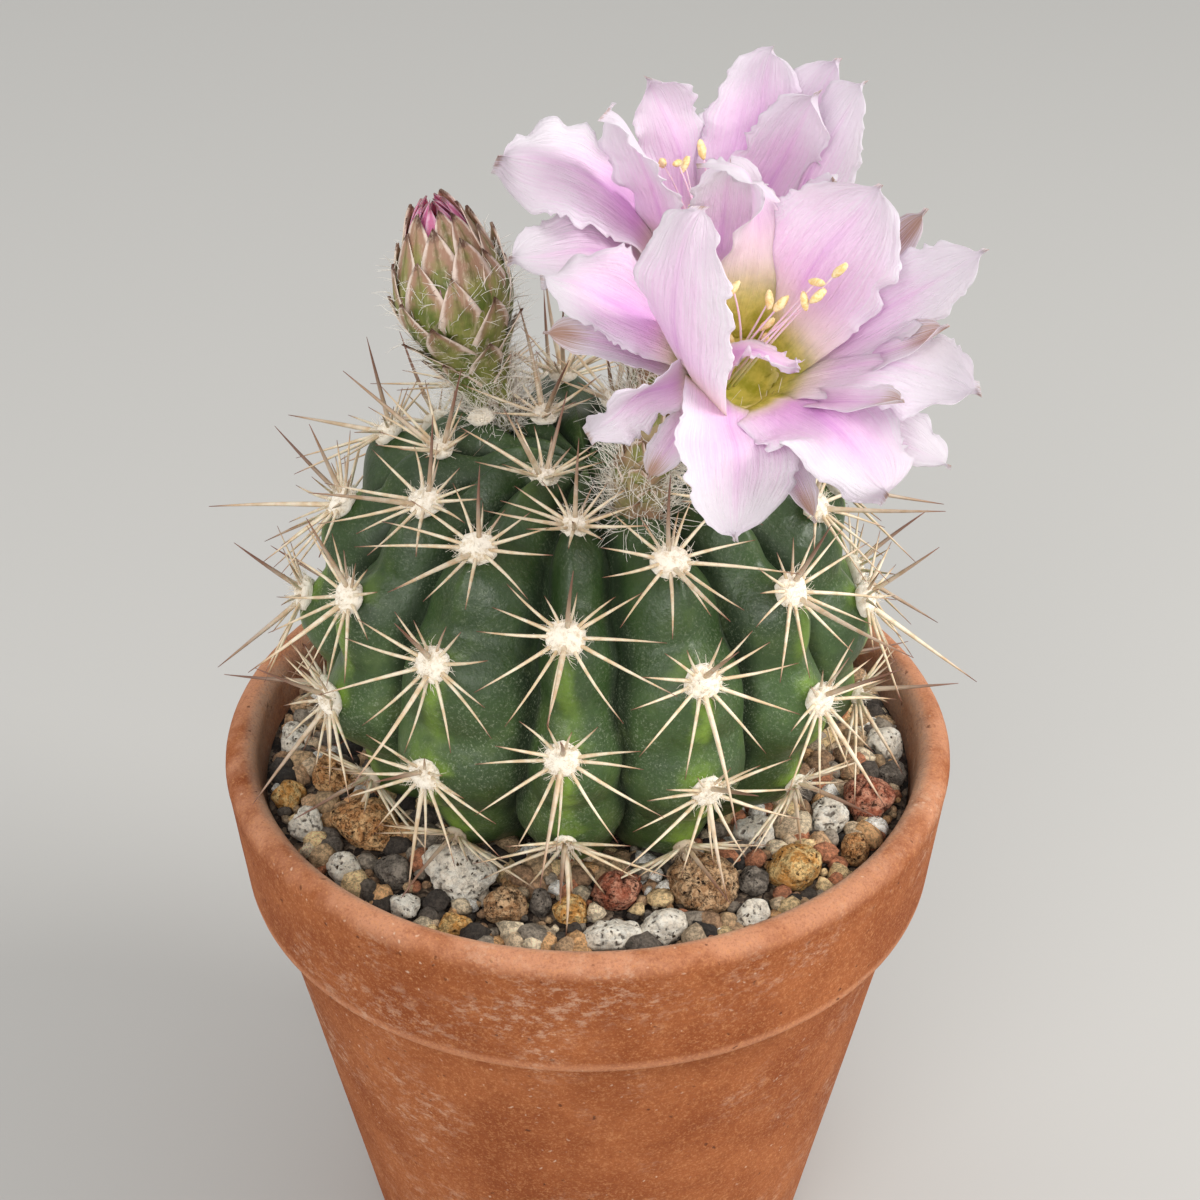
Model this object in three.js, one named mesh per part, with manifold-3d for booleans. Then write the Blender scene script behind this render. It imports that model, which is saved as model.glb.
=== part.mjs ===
// A round ribbed cactus in a terracotta pot: the pot, its growing mix, the loose stones on top, the
// plant with its areoles, spines and root, one flower bud and two open blooms.
// Millimetres, +Z up. The origin is the middle of the pot's base, and -Y is the front.
import * as THREE from "three";
import { mergeVertices } from "three/addons/utils/BufferGeometryUtils.js";
import Module from "manifold-3d";

const wasm = await Module();
wasm.setup();

// Driving sizes, millimetres

// Clear space between two pieces that rest against each other
const SEAT_GAP = 0.35;

const POT = {
  rimHeight: 125,
  rimRadius: 70,
  lipWidth: 6.2,
  lipHeight: 3.2,
  collarHeight: 27.7,
  collarFootRadius: 67.4,
  neckRadius: 63.7,
  baseRadius: 44.4,
  innerRadius: 63.8,
  innerFloorRadius: 39.4,
  floor: 7,
  drainRadius: 8.5,
  sides: 32,
};

const MIX = {
  edgeHeight: 115.3,
  moundHeight: 118.2,
  moundRadius: 44,
  middleRadius: 24,
  rings: 4,
  sides: 26,
  grit: 0.5,
};

const RIBS = 13;
// Azimuth of the front rib's crest, in degrees from the front towards +X
const FRONT_RIB = -4.3;
// The crest of a rib from the underside to the crown, as radius and height
const CREST = [
  [0, 113.5], [15, 113.8], [30, 116], [44.5, 130], [51.6, 144],
  [51.4, 157], [46.5, 172], [35.5, 182.8], [21, 187], [9, 186.2], [0, 183.6],
];
const BODY = { equator: 52, grooveDepth: 8, rows: 12, stepsPerRib: 6, swell: 0.8 };
const HOLLOW = { sides: 26, steps: 5, start: 9, reach: 34 };
const ROOT = { top: 116, shoulder: 102, neck: 10, tip: 4, bottom: 78, sides: 10 };

// Where the first areole of each rib lies, along the crest from the rib's foot, and the step upwards
const FIRST_AREOLE = [27.5, 18, 26, 32, 22, 30, 17, 27, 20, 33, 28, 21.5, 19];
const AREOLE_STEP = 20.9;
const LAST_AREOLE = 104;
// From this arc up the crowded crown has smaller pads and shorter, fewer spines, held more upright
const CROWN = { arc: 85, padScale: 0.75, spineScale: 0.85, spineRise: 12 };
const PAD = { radius: 3.9, height: 1.9, sunk: 1.2, sides: 5 };

// One areole's spines: turn from the upward direction, rise from the skin, length
const SPINES = [
  [66, 20, 14], [-72, 18, 14], [118, 15, 20],
  [-122, 15, 20], [183, 42, 25],
];
const SPINE_RADIUS = 0.46;
// How much spines differ from the list: degrees of turn and rise, part of the length
const SPINE_SPREAD = { turn: 16, rise: 10, length: 0.24 };
// How far from the areole's middle a spine leaves it
const SPINE_RING = 1.5;

// Loose stones: azimuth, radius of place, width, depth, height, turn, stone kind
const STONES = [
  [-30, 45.6, 14, 12, 10, 20, "white"], [-57.6, 48.2, 15, 12, 10.5, 10, "tan"],
  [-65.8, 57.4, 8, 7, 6.5, 0, "white"], [-51.5, 57.2, 7.2, 6.4, 5.8, 30, "white"],
  [-35.5, 56.6, 6.4, 5.4, 4.6, 0, "white"], [4.6, 55.2, 11, 7.4, 6.4, -8, "white"],
  [14.6, 54.2, 8.6, 7.2, 6.6, 10, "white"], [31.4, 56.6, 6.8, 5.6, 5, 0, "white"],
  [48.7, 41.6, 8.6, 7.6, 7, 15, "white"], [63.6, 50.6, 8.2, 7.4, 6.8, -20, "white"],
  [91.8, 58, 7.8, 7, 6.4, 0, "white"], [-93.7, 57.4, 8.4, 7, 6, 15, "white"],
  [-42.6, 51.6, 8.2, 6.4, 6, 0, "dark"], [-10, 47.4, 4.2, 5, 5, 0, "dark"],
  [36.8, 50.6, 6, 6, 5.6, 10, "dark"], [82.6, 58.6, 6.6, 6, 5.6, 0, "dark"],
  [-24.6, 56.8, 6.6, 5.6, 5, 0, "yellow"], [-17, 50.4, 8.4, 7.2, 6.8, 15, "brown"],
  [-3.4, 49, 6.8, 6.4, 6, 0, "yellow"], [-76.2, 58.6, 7, 6.4, 5.6, 0, "yellow"],
  [46, 53, 11, 9.6, 9, 25, "yellow"], [6.8, 44.4, 9.8, 8.6, 8, 0, "red"],
  [72.6, 55.6, 10.4, 9.6, 9.6, -10, "red"], [26.2, 47.6, 13.2, 11.6, 10.4, 5, "brown"],
  [-78.4, 49.6, 10.6, 9, 8.4, 0, "tan"], [58.4, 58.2, 6.2, 6, 6, 0, "tan"],
];
// Stones out of sight behind the plant, laid by rule
const BACK_STONES = { count: 6, first: 110, step: 24, radius: 54, spread: 4, size: 9.5 };
// How high a stone's middle lies over the mix, as a part of its height
const STONE_RISE = 0.24;
const LARGE_STONE = 9.6;
const SMALL_STONE = 7.1;

// Floral cup at the mouth of a bloom: its radius, wall, depth, and how fast it widens
const CUP = { mouth: 9.6, wall: 1, depth: 13, foot: 3.4, belly: 0.7, slope: 0.4, petalDrop: 2.5, sides: 11 };
const PETAL = {
  thick: 0.65,
  lengthCells: 5,
  widthCells: 3,
  foot: 0.2,
  widest: 0.6,
  point: 0.62,
  cupping: 0.1,
  // how much a bent petal's middle line swings out, and the part of its length over which it twists
  swing: 0.35,
  twistEnd: 0.45,
};
const SEPAL = { lengthCells: 3, widthCells: 2 };
const NARROW_PETAL = 13.5;

// Each petal: azimuth of its root, its tip, its width, and optional flare, twist, sway, aim, lift
const FRONT_BLOOM = {
  mouth: [26.3, -34, 224.5],
  axis: [0.3, -0.5, 0.81],
  seat: [9, -17.5, 184],
  rise: [10.5, -22, 198],
  petals: [
    { az: -55, tip: [18.7, -40, 255], width: 18.5, flare: 48, twist: -18, foot: 0.55 },
    { az: -10, tip: [23.5, -61, 205.7], width: 18.5, flare: 30, sway: -0.8 },
    { az: 38, tip: [46.7, -63, 215], width: 21, flare: 30 },
    { az: 62, tip: [61.4, -53, 227.2], width: 17, flare: 28, twist: -8, sway: 4 },
    { az: 95, tip: [62.8, -40, 245.8], width: 11, flare: 20, twist: -20, sway: 2.5 },
    { az: 135, tip: [46.6, -25, 251], width: 20, flare: 18, sway: 2.5 },
    { az: 165, tip: [17.8, -26, 253], width: 15, flare: 5, twist: -95, aim: [-1, -0.25, -0.1] },
    { az: -62, tip: [0.2, -49, 218], width: 12, flare: 40, twist: 30, sway: 1 },
    { az: -105, tip: [-7.2, -31, 236.6], width: 17, flare: 55 },
    { az: 58, tip: [57.8, -52, 214], width: 13, flare: 45, lift: 2 },
  ],
  sepals: [
    { az: 80, tip: [56.9, -44, 234.6], width: 8, flare: 40, lift: 3 },
    { az: 125, tip: [55, -23, 244.7], width: 9, flare: 30, lift: 3 },
    { az: 50, tip: [47.9, -66, 233.2], width: 6, flare: 35, lift: 2 },
    { az: -30, tip: [10.1, -44, 206.8], width: 6, flare: 60, lift: 3 },
    { az: 18, tip: [36.6, -57, 206.7], width: 8, flare: 45, lift: 3 },
    { az: -88, tip: [-6.7, -38, 230.2], width: 9, flare: 60, lift: 3 },
  ],
  anthers: [
    [23.5, -34, 236], [31, -37, 234.9], [34.6, -38, 235.9], [36.4, -38, 239.2],
    [36.7, -38, 236.8], [39.9, -38, 241.3], [29.5, -32, 233],
  ],
};
const BACK_BLOOM = {
  mouth: [22, 7, 222],
  axis: [0.02, 0.05, 1],
  seat: [9, 10, 184],
  rise: [14, 9, 198],
  petals: [
    { az: -95, tip: [-15.2, 2, 242], width: 18, flare: 20, twist: 20 },
    { az: -60, tip: [-13, -11, 229.7], width: 14.5, flare: 45, twist: 30, sway: 1 },
    { az: -75, tip: [3, -4, 254.6], width: 14, flare: 0, twist: -35, straight: 0.4 },
    { az: -140, tip: [10.1, 14, 252.6], width: 13, flare: 14, sway: -2 },
    { az: 165, tip: [32.4, 24, 255.1], width: 17, flare: 18, straight: 0.7, sway: -1 },
    { az: 150, tip: [39.7, 10, 251.2], width: 14.5, flare: 10, straight: 0.5, sway: -1 },
    { az: 135, tip: [43.8, 21, 253.4], width: 12, flare: 18, straight: 0.6 },
    { az: 110, tip: [48.2, 13, 252], width: 15, flare: 24, twist: -25, straight: 0.5, sway: -1 },
    { az: 5, tip: [24, -9, 246], width: 15, flare: 10 },
    { az: 60, tip: [41, -7, 243], width: 14, flare: 15 },
    { az: 168, tip: [31, 42, 238], width: 16, flare: 30 },
    { az: -160, tip: [10, 38, 229], width: 14, flare: 30 },
    { az: 112, tip: [48, 27, 235], width: 13, flare: 30 },
  ],
  sepals: [
    { az: -100, tip: [-10.2, 6, 235], width: 8, flare: 40, lift: 3 },
    { az: -130, tip: [-4, 24, 228], width: 8, flare: 50, lift: 3 },
    { az: 140, tip: [42, 34, 228], width: 8, flare: 50, lift: 3 },
    { az: 95, tip: [51, 8, 228], width: 8, flare: 50, lift: 3 },
  ],
  anthers: [
    [19.6, 4, 243], [13, 4, 240.5], [15.6, 4, 240.5], [11.6, 4, 236.5],
    [17, 9, 238], [27, 6, 238],
  ],
};
const STAMEN = {
  thick: 0.42,
  rootRadius: 1.1,
  antherRadius: 0.85,
  antherLength: 3,
  button: [[0, 0], [1.9, 0], [2.3, 1.6], [0, 3]],
};
// Flower tube: radius at the seat, at the middle, where it meets the cup, and its own scales
const TUBE = {
  seat: 4.8,
  middle: 5,
  collar: 8.2,
  collarStart: 0.55,
  topDrop: 7.5,
  underCup: 4,
  sides: 8,
  rows: 5,
  scales: 3,
  scaleLength: 7,
  scaleWidth: 4.5,
};
// Turn from one scale or stamen to the next, radians
const LEAF_TURN = 2.4;

const BUD = {
  seat: [-19, 14.5, 184],
  tip: [-27.5, 13, 231],
  // radius and height along the bud's own axis
  outline: [[0, 0], [4.8, 0], [5, 6], [6.8, 12], [9.6, 18.5], [10.2, 25], [8.8, 31], [6.6, 35.5], [0, 35.6]],
  sides: 10,
  // height of each ring of scales, and how many it has; a ring's scales meet edge to edge
  scaleRings: [[7, 4], [16, 5], [26, 5]],
  scaleLength: 10.5,
  scaleThick: 0.6,
  // how deep a scale is rooted, and how far its point rises from there
  scaleSunk: 1.1,
  scaleLift: 3.6,
  petalOutline: [[0, 36], [5, 36], [5.2, 38.5], [3.9, 43], [0, 47]],
};

// Colours taken from the real finishes
const FINISH = {
  pot: { color: 0xb8663c, roughness: 0.85 },
  mix: { color: 0x4a3c31, roughness: 0.95 },
  cactus: { color: 0x3c6b3a, roughness: 0.5 },
  petals: { color: 0xeccdec, roughness: 0.6 },
  tube: { color: 0x7f7a55, roughness: 0.85 },
  stamens: { color: 0xf1dc9a, roughness: 0.7 },
  bud: { color: 0x7e8a4c, roughness: 0.75 },
  budPetals: { color: 0xd670a8, roughness: 0.6 },
  white: { color: 0xe3ddd3, roughness: 0.9 },
  tan: { color: 0xb08455, roughness: 0.9 },
  yellow: { color: 0xc79a4c, roughness: 0.9 },
  brown: { color: 0x84694d, roughness: 0.9 },
  red: { color: 0x8a4a33, roughness: 0.9 },
  dark: { color: 0x4b4846, roughness: 0.9 },
};

// Small helpers

const radians = THREE.MathUtils.degToRad;
const vector = (p) => new THREE.Vector3(p[0], p[1], p[2]);
const smooth = (x) => THREE.MathUtils.smoothstep(x, 0, 1);
const clamp01 = (x) => Math.min(1, Math.max(0, x));

// A repeatable draw between 0 and 1 for a pair of whole numbers
function draw(i, j) {
  const x = Math.sin(i * 12.9898 + j * 78.233) * 43758.5453;
  return x - Math.floor(x);
}

// Horizontal direction at an azimuth in degrees, from the front towards +X
function outward(azimuth) {
  const a = radians(azimuth);
  return new THREE.Vector3(Math.sin(a), -Math.cos(a), 0);
}

// A closed geometry as a solid, its faces turned outwards
function solidOf(geometry) {
  const bare = geometry.clone();
  bare.deleteAttribute("normal");
  bare.deleteAttribute("uv");
  const merged = mergeVertices(bare, 1e-4);
  const triVerts = new Uint32Array(merged.index.array);
  const vertProperties = new Float32Array(merged.attributes.position.array);
  let solid = new wasm.Manifold(new wasm.Mesh({ numProp: 3, vertProperties, triVerts }));
  if (solid.volume() < 0) {
    for (let i = 0; i < triVerts.length; i += 3) {
      [triVerts[i + 1], triVerts[i + 2]] = [triVerts[i + 2], triVerts[i + 1]];
    }
    solid = new wasm.Manifold(new wasm.Mesh({ numProp: 3, vertProperties, triVerts }));
  }
  return solid;
}

// A closed solid from its points and the triangles between them
function solidFromFaces(points, faces) {
  const geometry = new THREE.BufferGeometry();
  geometry.setAttribute("position", new THREE.Float32BufferAttribute(points.flatMap((p) => p.toArray()), 3));
  geometry.setIndex(faces);
  return solidOf(geometry);
}

// The largest connected body, with any sealed hollow filled
function wholeBody(solid) {
  const outer = solid.decompose().filter((part) => part.volume() > 0);
  outer.sort((a, b) => b.volume() - a.volume());
  return outer[0];
}

function union(solids) {
  return solids.reduce((sum, next) => sum.add(next));
}

function meshOf(name, solid, finish) {
  const { vertProperties, triVerts } = solid.getMesh();
  const geometry = new THREE.BufferGeometry();
  geometry.setAttribute("position", new THREE.Float32BufferAttribute(vertProperties, 3));
  geometry.setIndex(Array.from(triVerts));
  geometry.computeVertexNormals();
  const material = new THREE.MeshStandardMaterial({ metalness: 0, ...FINISH[finish] });
  const mesh = new THREE.Mesh(geometry, material);
  mesh.name = name;
  return mesh;
}

// A turned solid: an outline of radius and height, spun about Z
function turned(outline, sides) {
  const profile = outline.map(([r, z]) => new THREE.Vector2(r, z));
  return new THREE.LatheGeometry(profile, sides).rotateX(Math.PI / 2);
}

// Moves a geometry made about Z so that its Z axis points along a direction from a place
function stood(geometry, place, direction) {
  const turn = new THREE.Quaternion().setFromUnitVectors(new THREE.Vector3(0, 0, 1), direction);
  return geometry.applyQuaternion(turn).translate(place.x, place.y, place.z);
}

// The pot

function potOutline() {
  const lip = new THREE.EllipseCurve(
    POT.rimRadius - POT.lipWidth / 2,
    POT.rimHeight - POT.lipHeight,
    POT.lipWidth / 2,
    POT.lipHeight,
    0,
    Math.PI,
  );
  const lipPoints = lip.getPoints(5).map((p) => [p.x, p.y]);
  const collarFoot = POT.rimHeight - POT.collarHeight;
  return [
    [POT.drainRadius, 0],
    [POT.baseRadius - 1, 0],
    [POT.baseRadius, 1],
    [POT.neckRadius, collarFoot],
    [POT.collarFootRadius - 0.8, collarFoot],
    [POT.collarFootRadius, collarFoot + 0.8],
    ...lipPoints,
    [POT.innerFloorRadius, POT.floor],
    [POT.drainRadius, POT.floor],
    [POT.drainRadius, 0],
  ];
}

function makePot() {
  return solidOf(turned(potOutline(), POT.sides));
}

// Radius of the pot's inner wall at a height
function innerWall(z) {
  const lipFoot = POT.rimHeight - POT.lipHeight;
  const part = (z - POT.floor) / (lipFoot - POT.floor);
  return THREE.MathUtils.lerp(POT.innerFloorRadius, POT.innerRadius, part);
}

// The plant's body

const crestCurve = new THREE.SplineCurve(CREST.map(([r, z]) => new THREE.Vector2(r, z)));
const CREST_SAMPLES = 400;
crestCurve.arcLengthDivisions = CREST_SAMPLES;
const CREST_LENGTH = crestCurve.getLength();
// Arc from the underside's middle to the rib's foot, the third point of the crest
const FOOT_ARC = crestCurve.getLengths()[Math.round((2 / (CREST.length - 1)) * CREST_SAMPLES)];

// Place, outward normal and upward tangent on the crest at an arc from the underside's middle
function crestAt(arc) {
  const u = clamp01(arc / CREST_LENGTH);
  const place = crestCurve.getPointAt(u);
  const tangent = crestCurve.getTangentAt(Math.min(0.999, Math.max(0.001, u)));
  return { place, tangent, normal: new THREE.Vector2(tangent.y, -tangent.x) };
}

const ribAzimuth = (rib) => FRONT_RIB + (360 / RIBS) * rib;

// How far the crest stands out from its mean line: fullest just below each areole
function crestSwell(rib, arc) {
  const phase = (arc - FOOT_ARC - FIRST_AREOLE[rib] + AREOLE_STEP * 0.2) / AREOLE_STEP;
  const fade = smooth((arc - FOOT_ARC) / 15) * smooth((CREST_LENGTH - arc) / 20);
  return BODY.swell * Math.cos(2 * Math.PI * phase) * fade;
}

// A point on the body: across is -1 to 1 from groove to groove over the rib's crest
function bodyPoint(rib, across, arc, grow) {
  const { place, normal } = crestAt(arc);
  const depth = BODY.grooveDepth * Math.pow(place.x / BODY.equator, 0.75);
  const sink = depth * (1 - Math.sqrt(Math.max(0, 1 - Math.pow(Math.abs(across), 2.2))));
  const out = grow - sink + crestSwell(rib, arc) * (1 - across * across);
  const radius = Math.max(0.6, place.x + normal.x * out);
  const direction = outward(ribAzimuth(rib) + (across * 180) / RIBS);
  return direction.multiplyScalar(radius).setZ(place.y + normal.y * out);
}

// The ribbed body, grown by a clear space where it is used to cut a seat
function bodySolid(grow) {
  const steps = BODY.stepsPerRib;
  const around = RIBS * steps;
  const points = [];
  for (let row = 1; row < BODY.rows; row += 1) {
    const arc = (CREST_LENGTH * row) / BODY.rows;
    for (let step = 0; step < around; step += 1) {
      const rib = Math.floor((step + steps / 2) / steps) % RIBS;
      const fromCrest = ((step + steps / 2) % steps) - steps / 2;
      points.push(bodyPoint(rib, (2 * fromCrest) / steps, arc, grow));
    }
  }
  const bottom = points.push(new THREE.Vector3(0, 0, CREST[0][1] - grow)) - 1;
  const top = points.push(new THREE.Vector3(0, 0, CREST.at(-1)[1] + grow)) - 1;
  const faces = [];
  for (let step = 0; step < around; step += 1) {
    const next = (step + 1) % around;
    faces.push(bottom, next, step);
    for (let row = 0; row < BODY.rows - 2; row += 1) {
      const a = row * around + step;
      const b = row * around + next;
      faces.push(a, b, b + around, a, b + around, a + around);
    }
    const last = (BODY.rows - 2) * around;
    faces.push(top, last + step, last + next);
  }
  return solidFromFaces(points, faces);
}

function rootSolid(grow) {
  const outline = [
    [0, ROOT.bottom - grow],
    [ROOT.tip + grow, ROOT.bottom - grow],
    [ROOT.neck + grow, ROOT.shoulder],
    [ROOT.neck + grow, ROOT.top],
    [0, ROOT.top],
  ];
  return solidOf(turned(outline, ROOT.sides));
}

// The plain hollow that the plant sits in: the crest's own outline, turned, with clear space
function plantHollow() {
  const facet = 1 / Math.cos(Math.PI / HOLLOW.sides);
  const outline = [[0, CREST[0][1] - SEAT_GAP]];
  for (let i = 1; i <= HOLLOW.steps; i += 1) {
    const { place, normal } = crestAt(HOLLOW.start + (HOLLOW.reach * i) / HOLLOW.steps);
    const out = SEAT_GAP + BODY.swell;
    outline.push([(place.x + normal.x * out) * facet, place.y + normal.y * out]);
  }
  outline.push([0, outline.at(-1)[1]]);
  return solidOf(turned(outline, HOLLOW.sides)).add(rootSolid(SEAT_GAP));
}

// Every areole with its frame: place, normal, upward and sideways directions
function areoles() {
  const list = [];
  for (let rib = 0; rib < RIBS; rib += 1) {
    for (let along = FIRST_AREOLE[rib]; along < LAST_AREOLE; along += AREOLE_STEP) {
      const arc = FOOT_ARC + along;
      const { tangent, normal } = crestAt(arc);
      const side = outward(ribAzimuth(rib));
      const up = side.clone().multiplyScalar(tangent.x).setZ(tangent.y);
      const out = side.clone().multiplyScalar(normal.x).setZ(normal.y);
      const place = bodyPoint(rib, 0, arc, 0);
      list.push({ rib, along, place, out, up, across: new THREE.Vector3().crossVectors(up, out) });
    }
  }
  return list;
}

function padSolid(areole, grow) {
  const radius = PAD.radius * (areole.along > CROWN.arc ? CROWN.padScale : 1) + grow;
  const dome = [[0, -PAD.sunk], [radius, -PAD.sunk * 0.4], [0, PAD.height + grow]];
  return solidOf(stood(turned(dome, PAD.sides), areole.place, areole.out));
}

// A slim three-sided needle from a root to a tip
function needle(root, tip, radius) {
  const length = root.distanceTo(tip);
  const cone = new THREE.ConeGeometry(radius, length, 3).rotateX(Math.PI / 2).translate(0, 0, length / 2);
  return solidOf(stood(cone, root, tip.clone().sub(root).normalize()));
}

// A spine's tip, from its place in the areole's list and how much it is raised and shortened
function spineTip(areole, index, which, raise, shorten) {
  const [turn, rise, length] = SPINES[which];
  const isCrown = areole.along > CROWN.arc;
  const lean = rise + raise + (isCrown ? CROWN.spineRise : 0);
  const theta = radians(turn + SPINE_SPREAD.turn * (draw(index, which) - 0.5));
  const alpha = radians(Math.min(80, lean + SPINE_SPREAD.rise * (draw(index, which + 20) - 0.5)));
  const grown = 1 + SPINE_SPREAD.length * (draw(index, which + 40) - 0.5);
  const reach = length * grown * shorten * (isCrown ? CROWN.spineScale : 1);
  return areole.up
    .clone()
    .multiplyScalar(Math.cos(theta) * Math.cos(alpha))
    .addScaledVector(areole.across, Math.sin(theta) * Math.cos(alpha))
    .addScaledVector(areole.out, Math.sin(alpha))
    .multiplyScalar(reach)
    .add(areole.place);
}

// The spine, bent up or shortened until it clears its neighbours, or none where there is no room
function clearSpine(areole, index, which, neighbours) {
  const towards = spineTip(areole, index, which, 0, 1).sub(areole.place);
  towards.addScaledVector(areole.out, -towards.dot(areole.out)).normalize();
  const root = areole.place.clone().addScaledVector(towards, SPINE_RING);
  const tries = [[0, 1], [14, 1], [28, 1], [42, 1], [28, 0.75], [50, 0.7], [30, 0.5]];
  for (const [raise, shorten] of tries) {
    const tip = spineTip(areole, index, which, raise, shorten);
    const past = tip.clone().addScaledVector(tip.clone().sub(root).normalize(), SEAT_GAP);
    const probe = needle(root, past, SPINE_RADIUS + 2 * SEAT_GAP);
    if (neighbours.every((piece) => piece.intersect(probe).isEmpty())) {
      return needle(root, tip, SPINE_RADIUS);
    }
  }
  return null;
}

function makeCactus(body, neighbours) {
  const parts = [body, rootSolid(0)];
  areoles().forEach((areole, index) => {
    const bed = padSolid(areole, SEAT_GAP);
    if (neighbours.every((piece) => piece.intersect(bed).isEmpty())) parts.push(padSolid(areole, 0));
    const spines = areole.along > CROWN.arc ? SPINES.slice(1) : SPINES;
    spines.forEach((_, which) => {
      const spine = clearSpine(areole, index, which, neighbours);
      if (spine) parts.push(spine);
    });
  });
  return wholeBody(union(parts));
}

// Growing mix and stones

// Height of the mix's surface: a low mound with grit in relief
function mixHeight(radius, azimuth) {
  const mound = smooth((innerWall(MIX.edgeHeight) - radius) / (innerWall(MIX.edgeHeight) - MIX.moundRadius));
  const grit = Math.sin(radius * 1.7 + azimuth * 9) * Math.cos(azimuth * 14 - radius * 0.9);
  return THREE.MathUtils.lerp(MIX.edgeHeight, MIX.moundHeight, mound) + MIX.grit * grit;
}

function mixSolid() {
  const sag = POT.innerRadius * (1 - Math.cos(Math.PI / POT.sides));
  const edge = innerWall(MIX.edgeHeight) - SEAT_GAP - sag;
  const points = [];
  for (let ring = 1; ring <= MIX.rings; ring += 1) {
    const radius = THREE.MathUtils.lerp(MIX.middleRadius, edge, (ring - 1) / (MIX.rings - 1));
    for (let side = 0; side < MIX.sides; side += 1) {
      const a = (2 * Math.PI * side) / MIX.sides;
      points.push(new THREE.Vector3(Math.sin(a) * radius, -Math.cos(a) * radius, mixHeight(radius, a)));
    }
  }
  const floorRadius = POT.innerFloorRadius - SEAT_GAP - sag;
  for (let side = 0; side < MIX.sides; side += 1) {
    const a = (2 * Math.PI * side) / MIX.sides;
    points.push(new THREE.Vector3(Math.sin(a) * floorRadius, -Math.cos(a) * floorRadius, POT.floor + SEAT_GAP));
  }
  const middle = points.push(new THREE.Vector3(0, 0, MIX.moundHeight)) - 1;
  const under = points.push(new THREE.Vector3(0, 0, POT.floor + SEAT_GAP)) - 1;
  const faces = [];
  for (let side = 0; side < MIX.sides; side += 1) {
    const next = (side + 1) % MIX.sides;
    faces.push(middle, side, next);
    for (let ring = 0; ring < MIX.rings; ring += 1) {
      const a = ring * MIX.sides + side;
      const b = ring * MIX.sides + next;
      faces.push(a, a + MIX.sides, b + MIX.sides, a, b + MIX.sides, b);
    }
    const last = MIX.rings * MIX.sides;
    faces.push(under, last + next, last + side);
  }
  return solidFromFaces(points, faces);
}

// A ball with few faces: a finer one for the larger stones
function stoneBall(width) {
  let ball = new THREE.SphereGeometry(1, 6, 4);
  if (width > LARGE_STONE) ball = new THREE.SphereGeometry(1, 8, 5);
  if (width < SMALL_STONE) ball = new THREE.IcosahedronGeometry(1.05, 0);
  ball.deleteAttribute("normal");
  ball.deleteAttribute("uv");
  return mergeVertices(ball, 1e-4);
}

// A rounded stone with flats and hollows, grown by a clear space where it is used to cut its bed
function stoneSolid(index, [azimuth, radius, width, depth, height, turn], grow) {
  const ball = stoneBall(width);
  const position = ball.attributes.position;
  for (let i = 0; i < position.count; i += 1) {
    const x = position.getX(i);
    const y = position.getY(i);
    const z = position.getZ(i);
    const lump = 1 + 0.07 * Math.sin(3 * x + index) * Math.cos(2.6 * y - index) + 0.05 * Math.sin(4 * z + 2 * index);
    position.setXYZ(i, x * lump * (width / 2 + grow), y * lump * (depth / 2 + grow), z * lump * (height / 2 + grow));
  }
  const place = outward(azimuth).multiplyScalar(radius);
  ball.rotateZ(radians(azimuth + turn));
  ball.translate(place.x, place.y, mixHeight(radius, radians(azimuth)) + height * STONE_RISE);
  return solidOf(ball);
}

function stoneList() {
  const kinds = ["tan", "white", "brown", "dark"];
  const hidden = Array.from({ length: BACK_STONES.count }, (_, i) => {
    const size = BACK_STONES.size * (0.8 + 0.4 * draw(i, 3));
    const radius = BACK_STONES.radius + BACK_STONES.spread * (draw(i, 7) - 0.5);
    const azimuth = BACK_STONES.first + BACK_STONES.step * i;
    return [azimuth, radius, size, size * 0.85, size * 0.75, 40 * i, kinds[i % kinds.length]];
  });
  return [...STONES, ...hidden];
}

// Blooms

// How wide a petal is at a part of its length: a narrow foot, widest beyond the middle, then a point
function petalWidth(t, foot) {
  if (t < PETAL.widest) {
    return foot + (1 - foot) * Math.pow(Math.sin(((t / PETAL.widest) * Math.PI) / 2), 1.3);
  }
  const b = (t - PETAL.widest) / (1 - PETAL.widest);
  return Math.pow(1 - b * b, PETAL.point);
}

// A cubic through two places with set directions: place and direction at t
function hermite(t, from, out, to, into) {
  const place = new THREE.Vector3()
    .addScaledVector(from, 2 * t ** 3 - 3 * t ** 2 + 1)
    .addScaledVector(out, t ** 3 - 2 * t ** 2 + t)
    .addScaledVector(to, -2 * t ** 3 + 3 * t ** 2)
    .addScaledVector(into, t ** 3 - t ** 2);
  const direction = new THREE.Vector3()
    .addScaledVector(from, 6 * t * t - 6 * t)
    .addScaledVector(out, 3 * t * t - 4 * t + 1)
    .addScaledVector(to, 6 * t - 6 * t * t)
    .addScaledVector(into, 3 * t * t - 2 * t)
    .normalize();
  return { place, direction };
}

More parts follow.
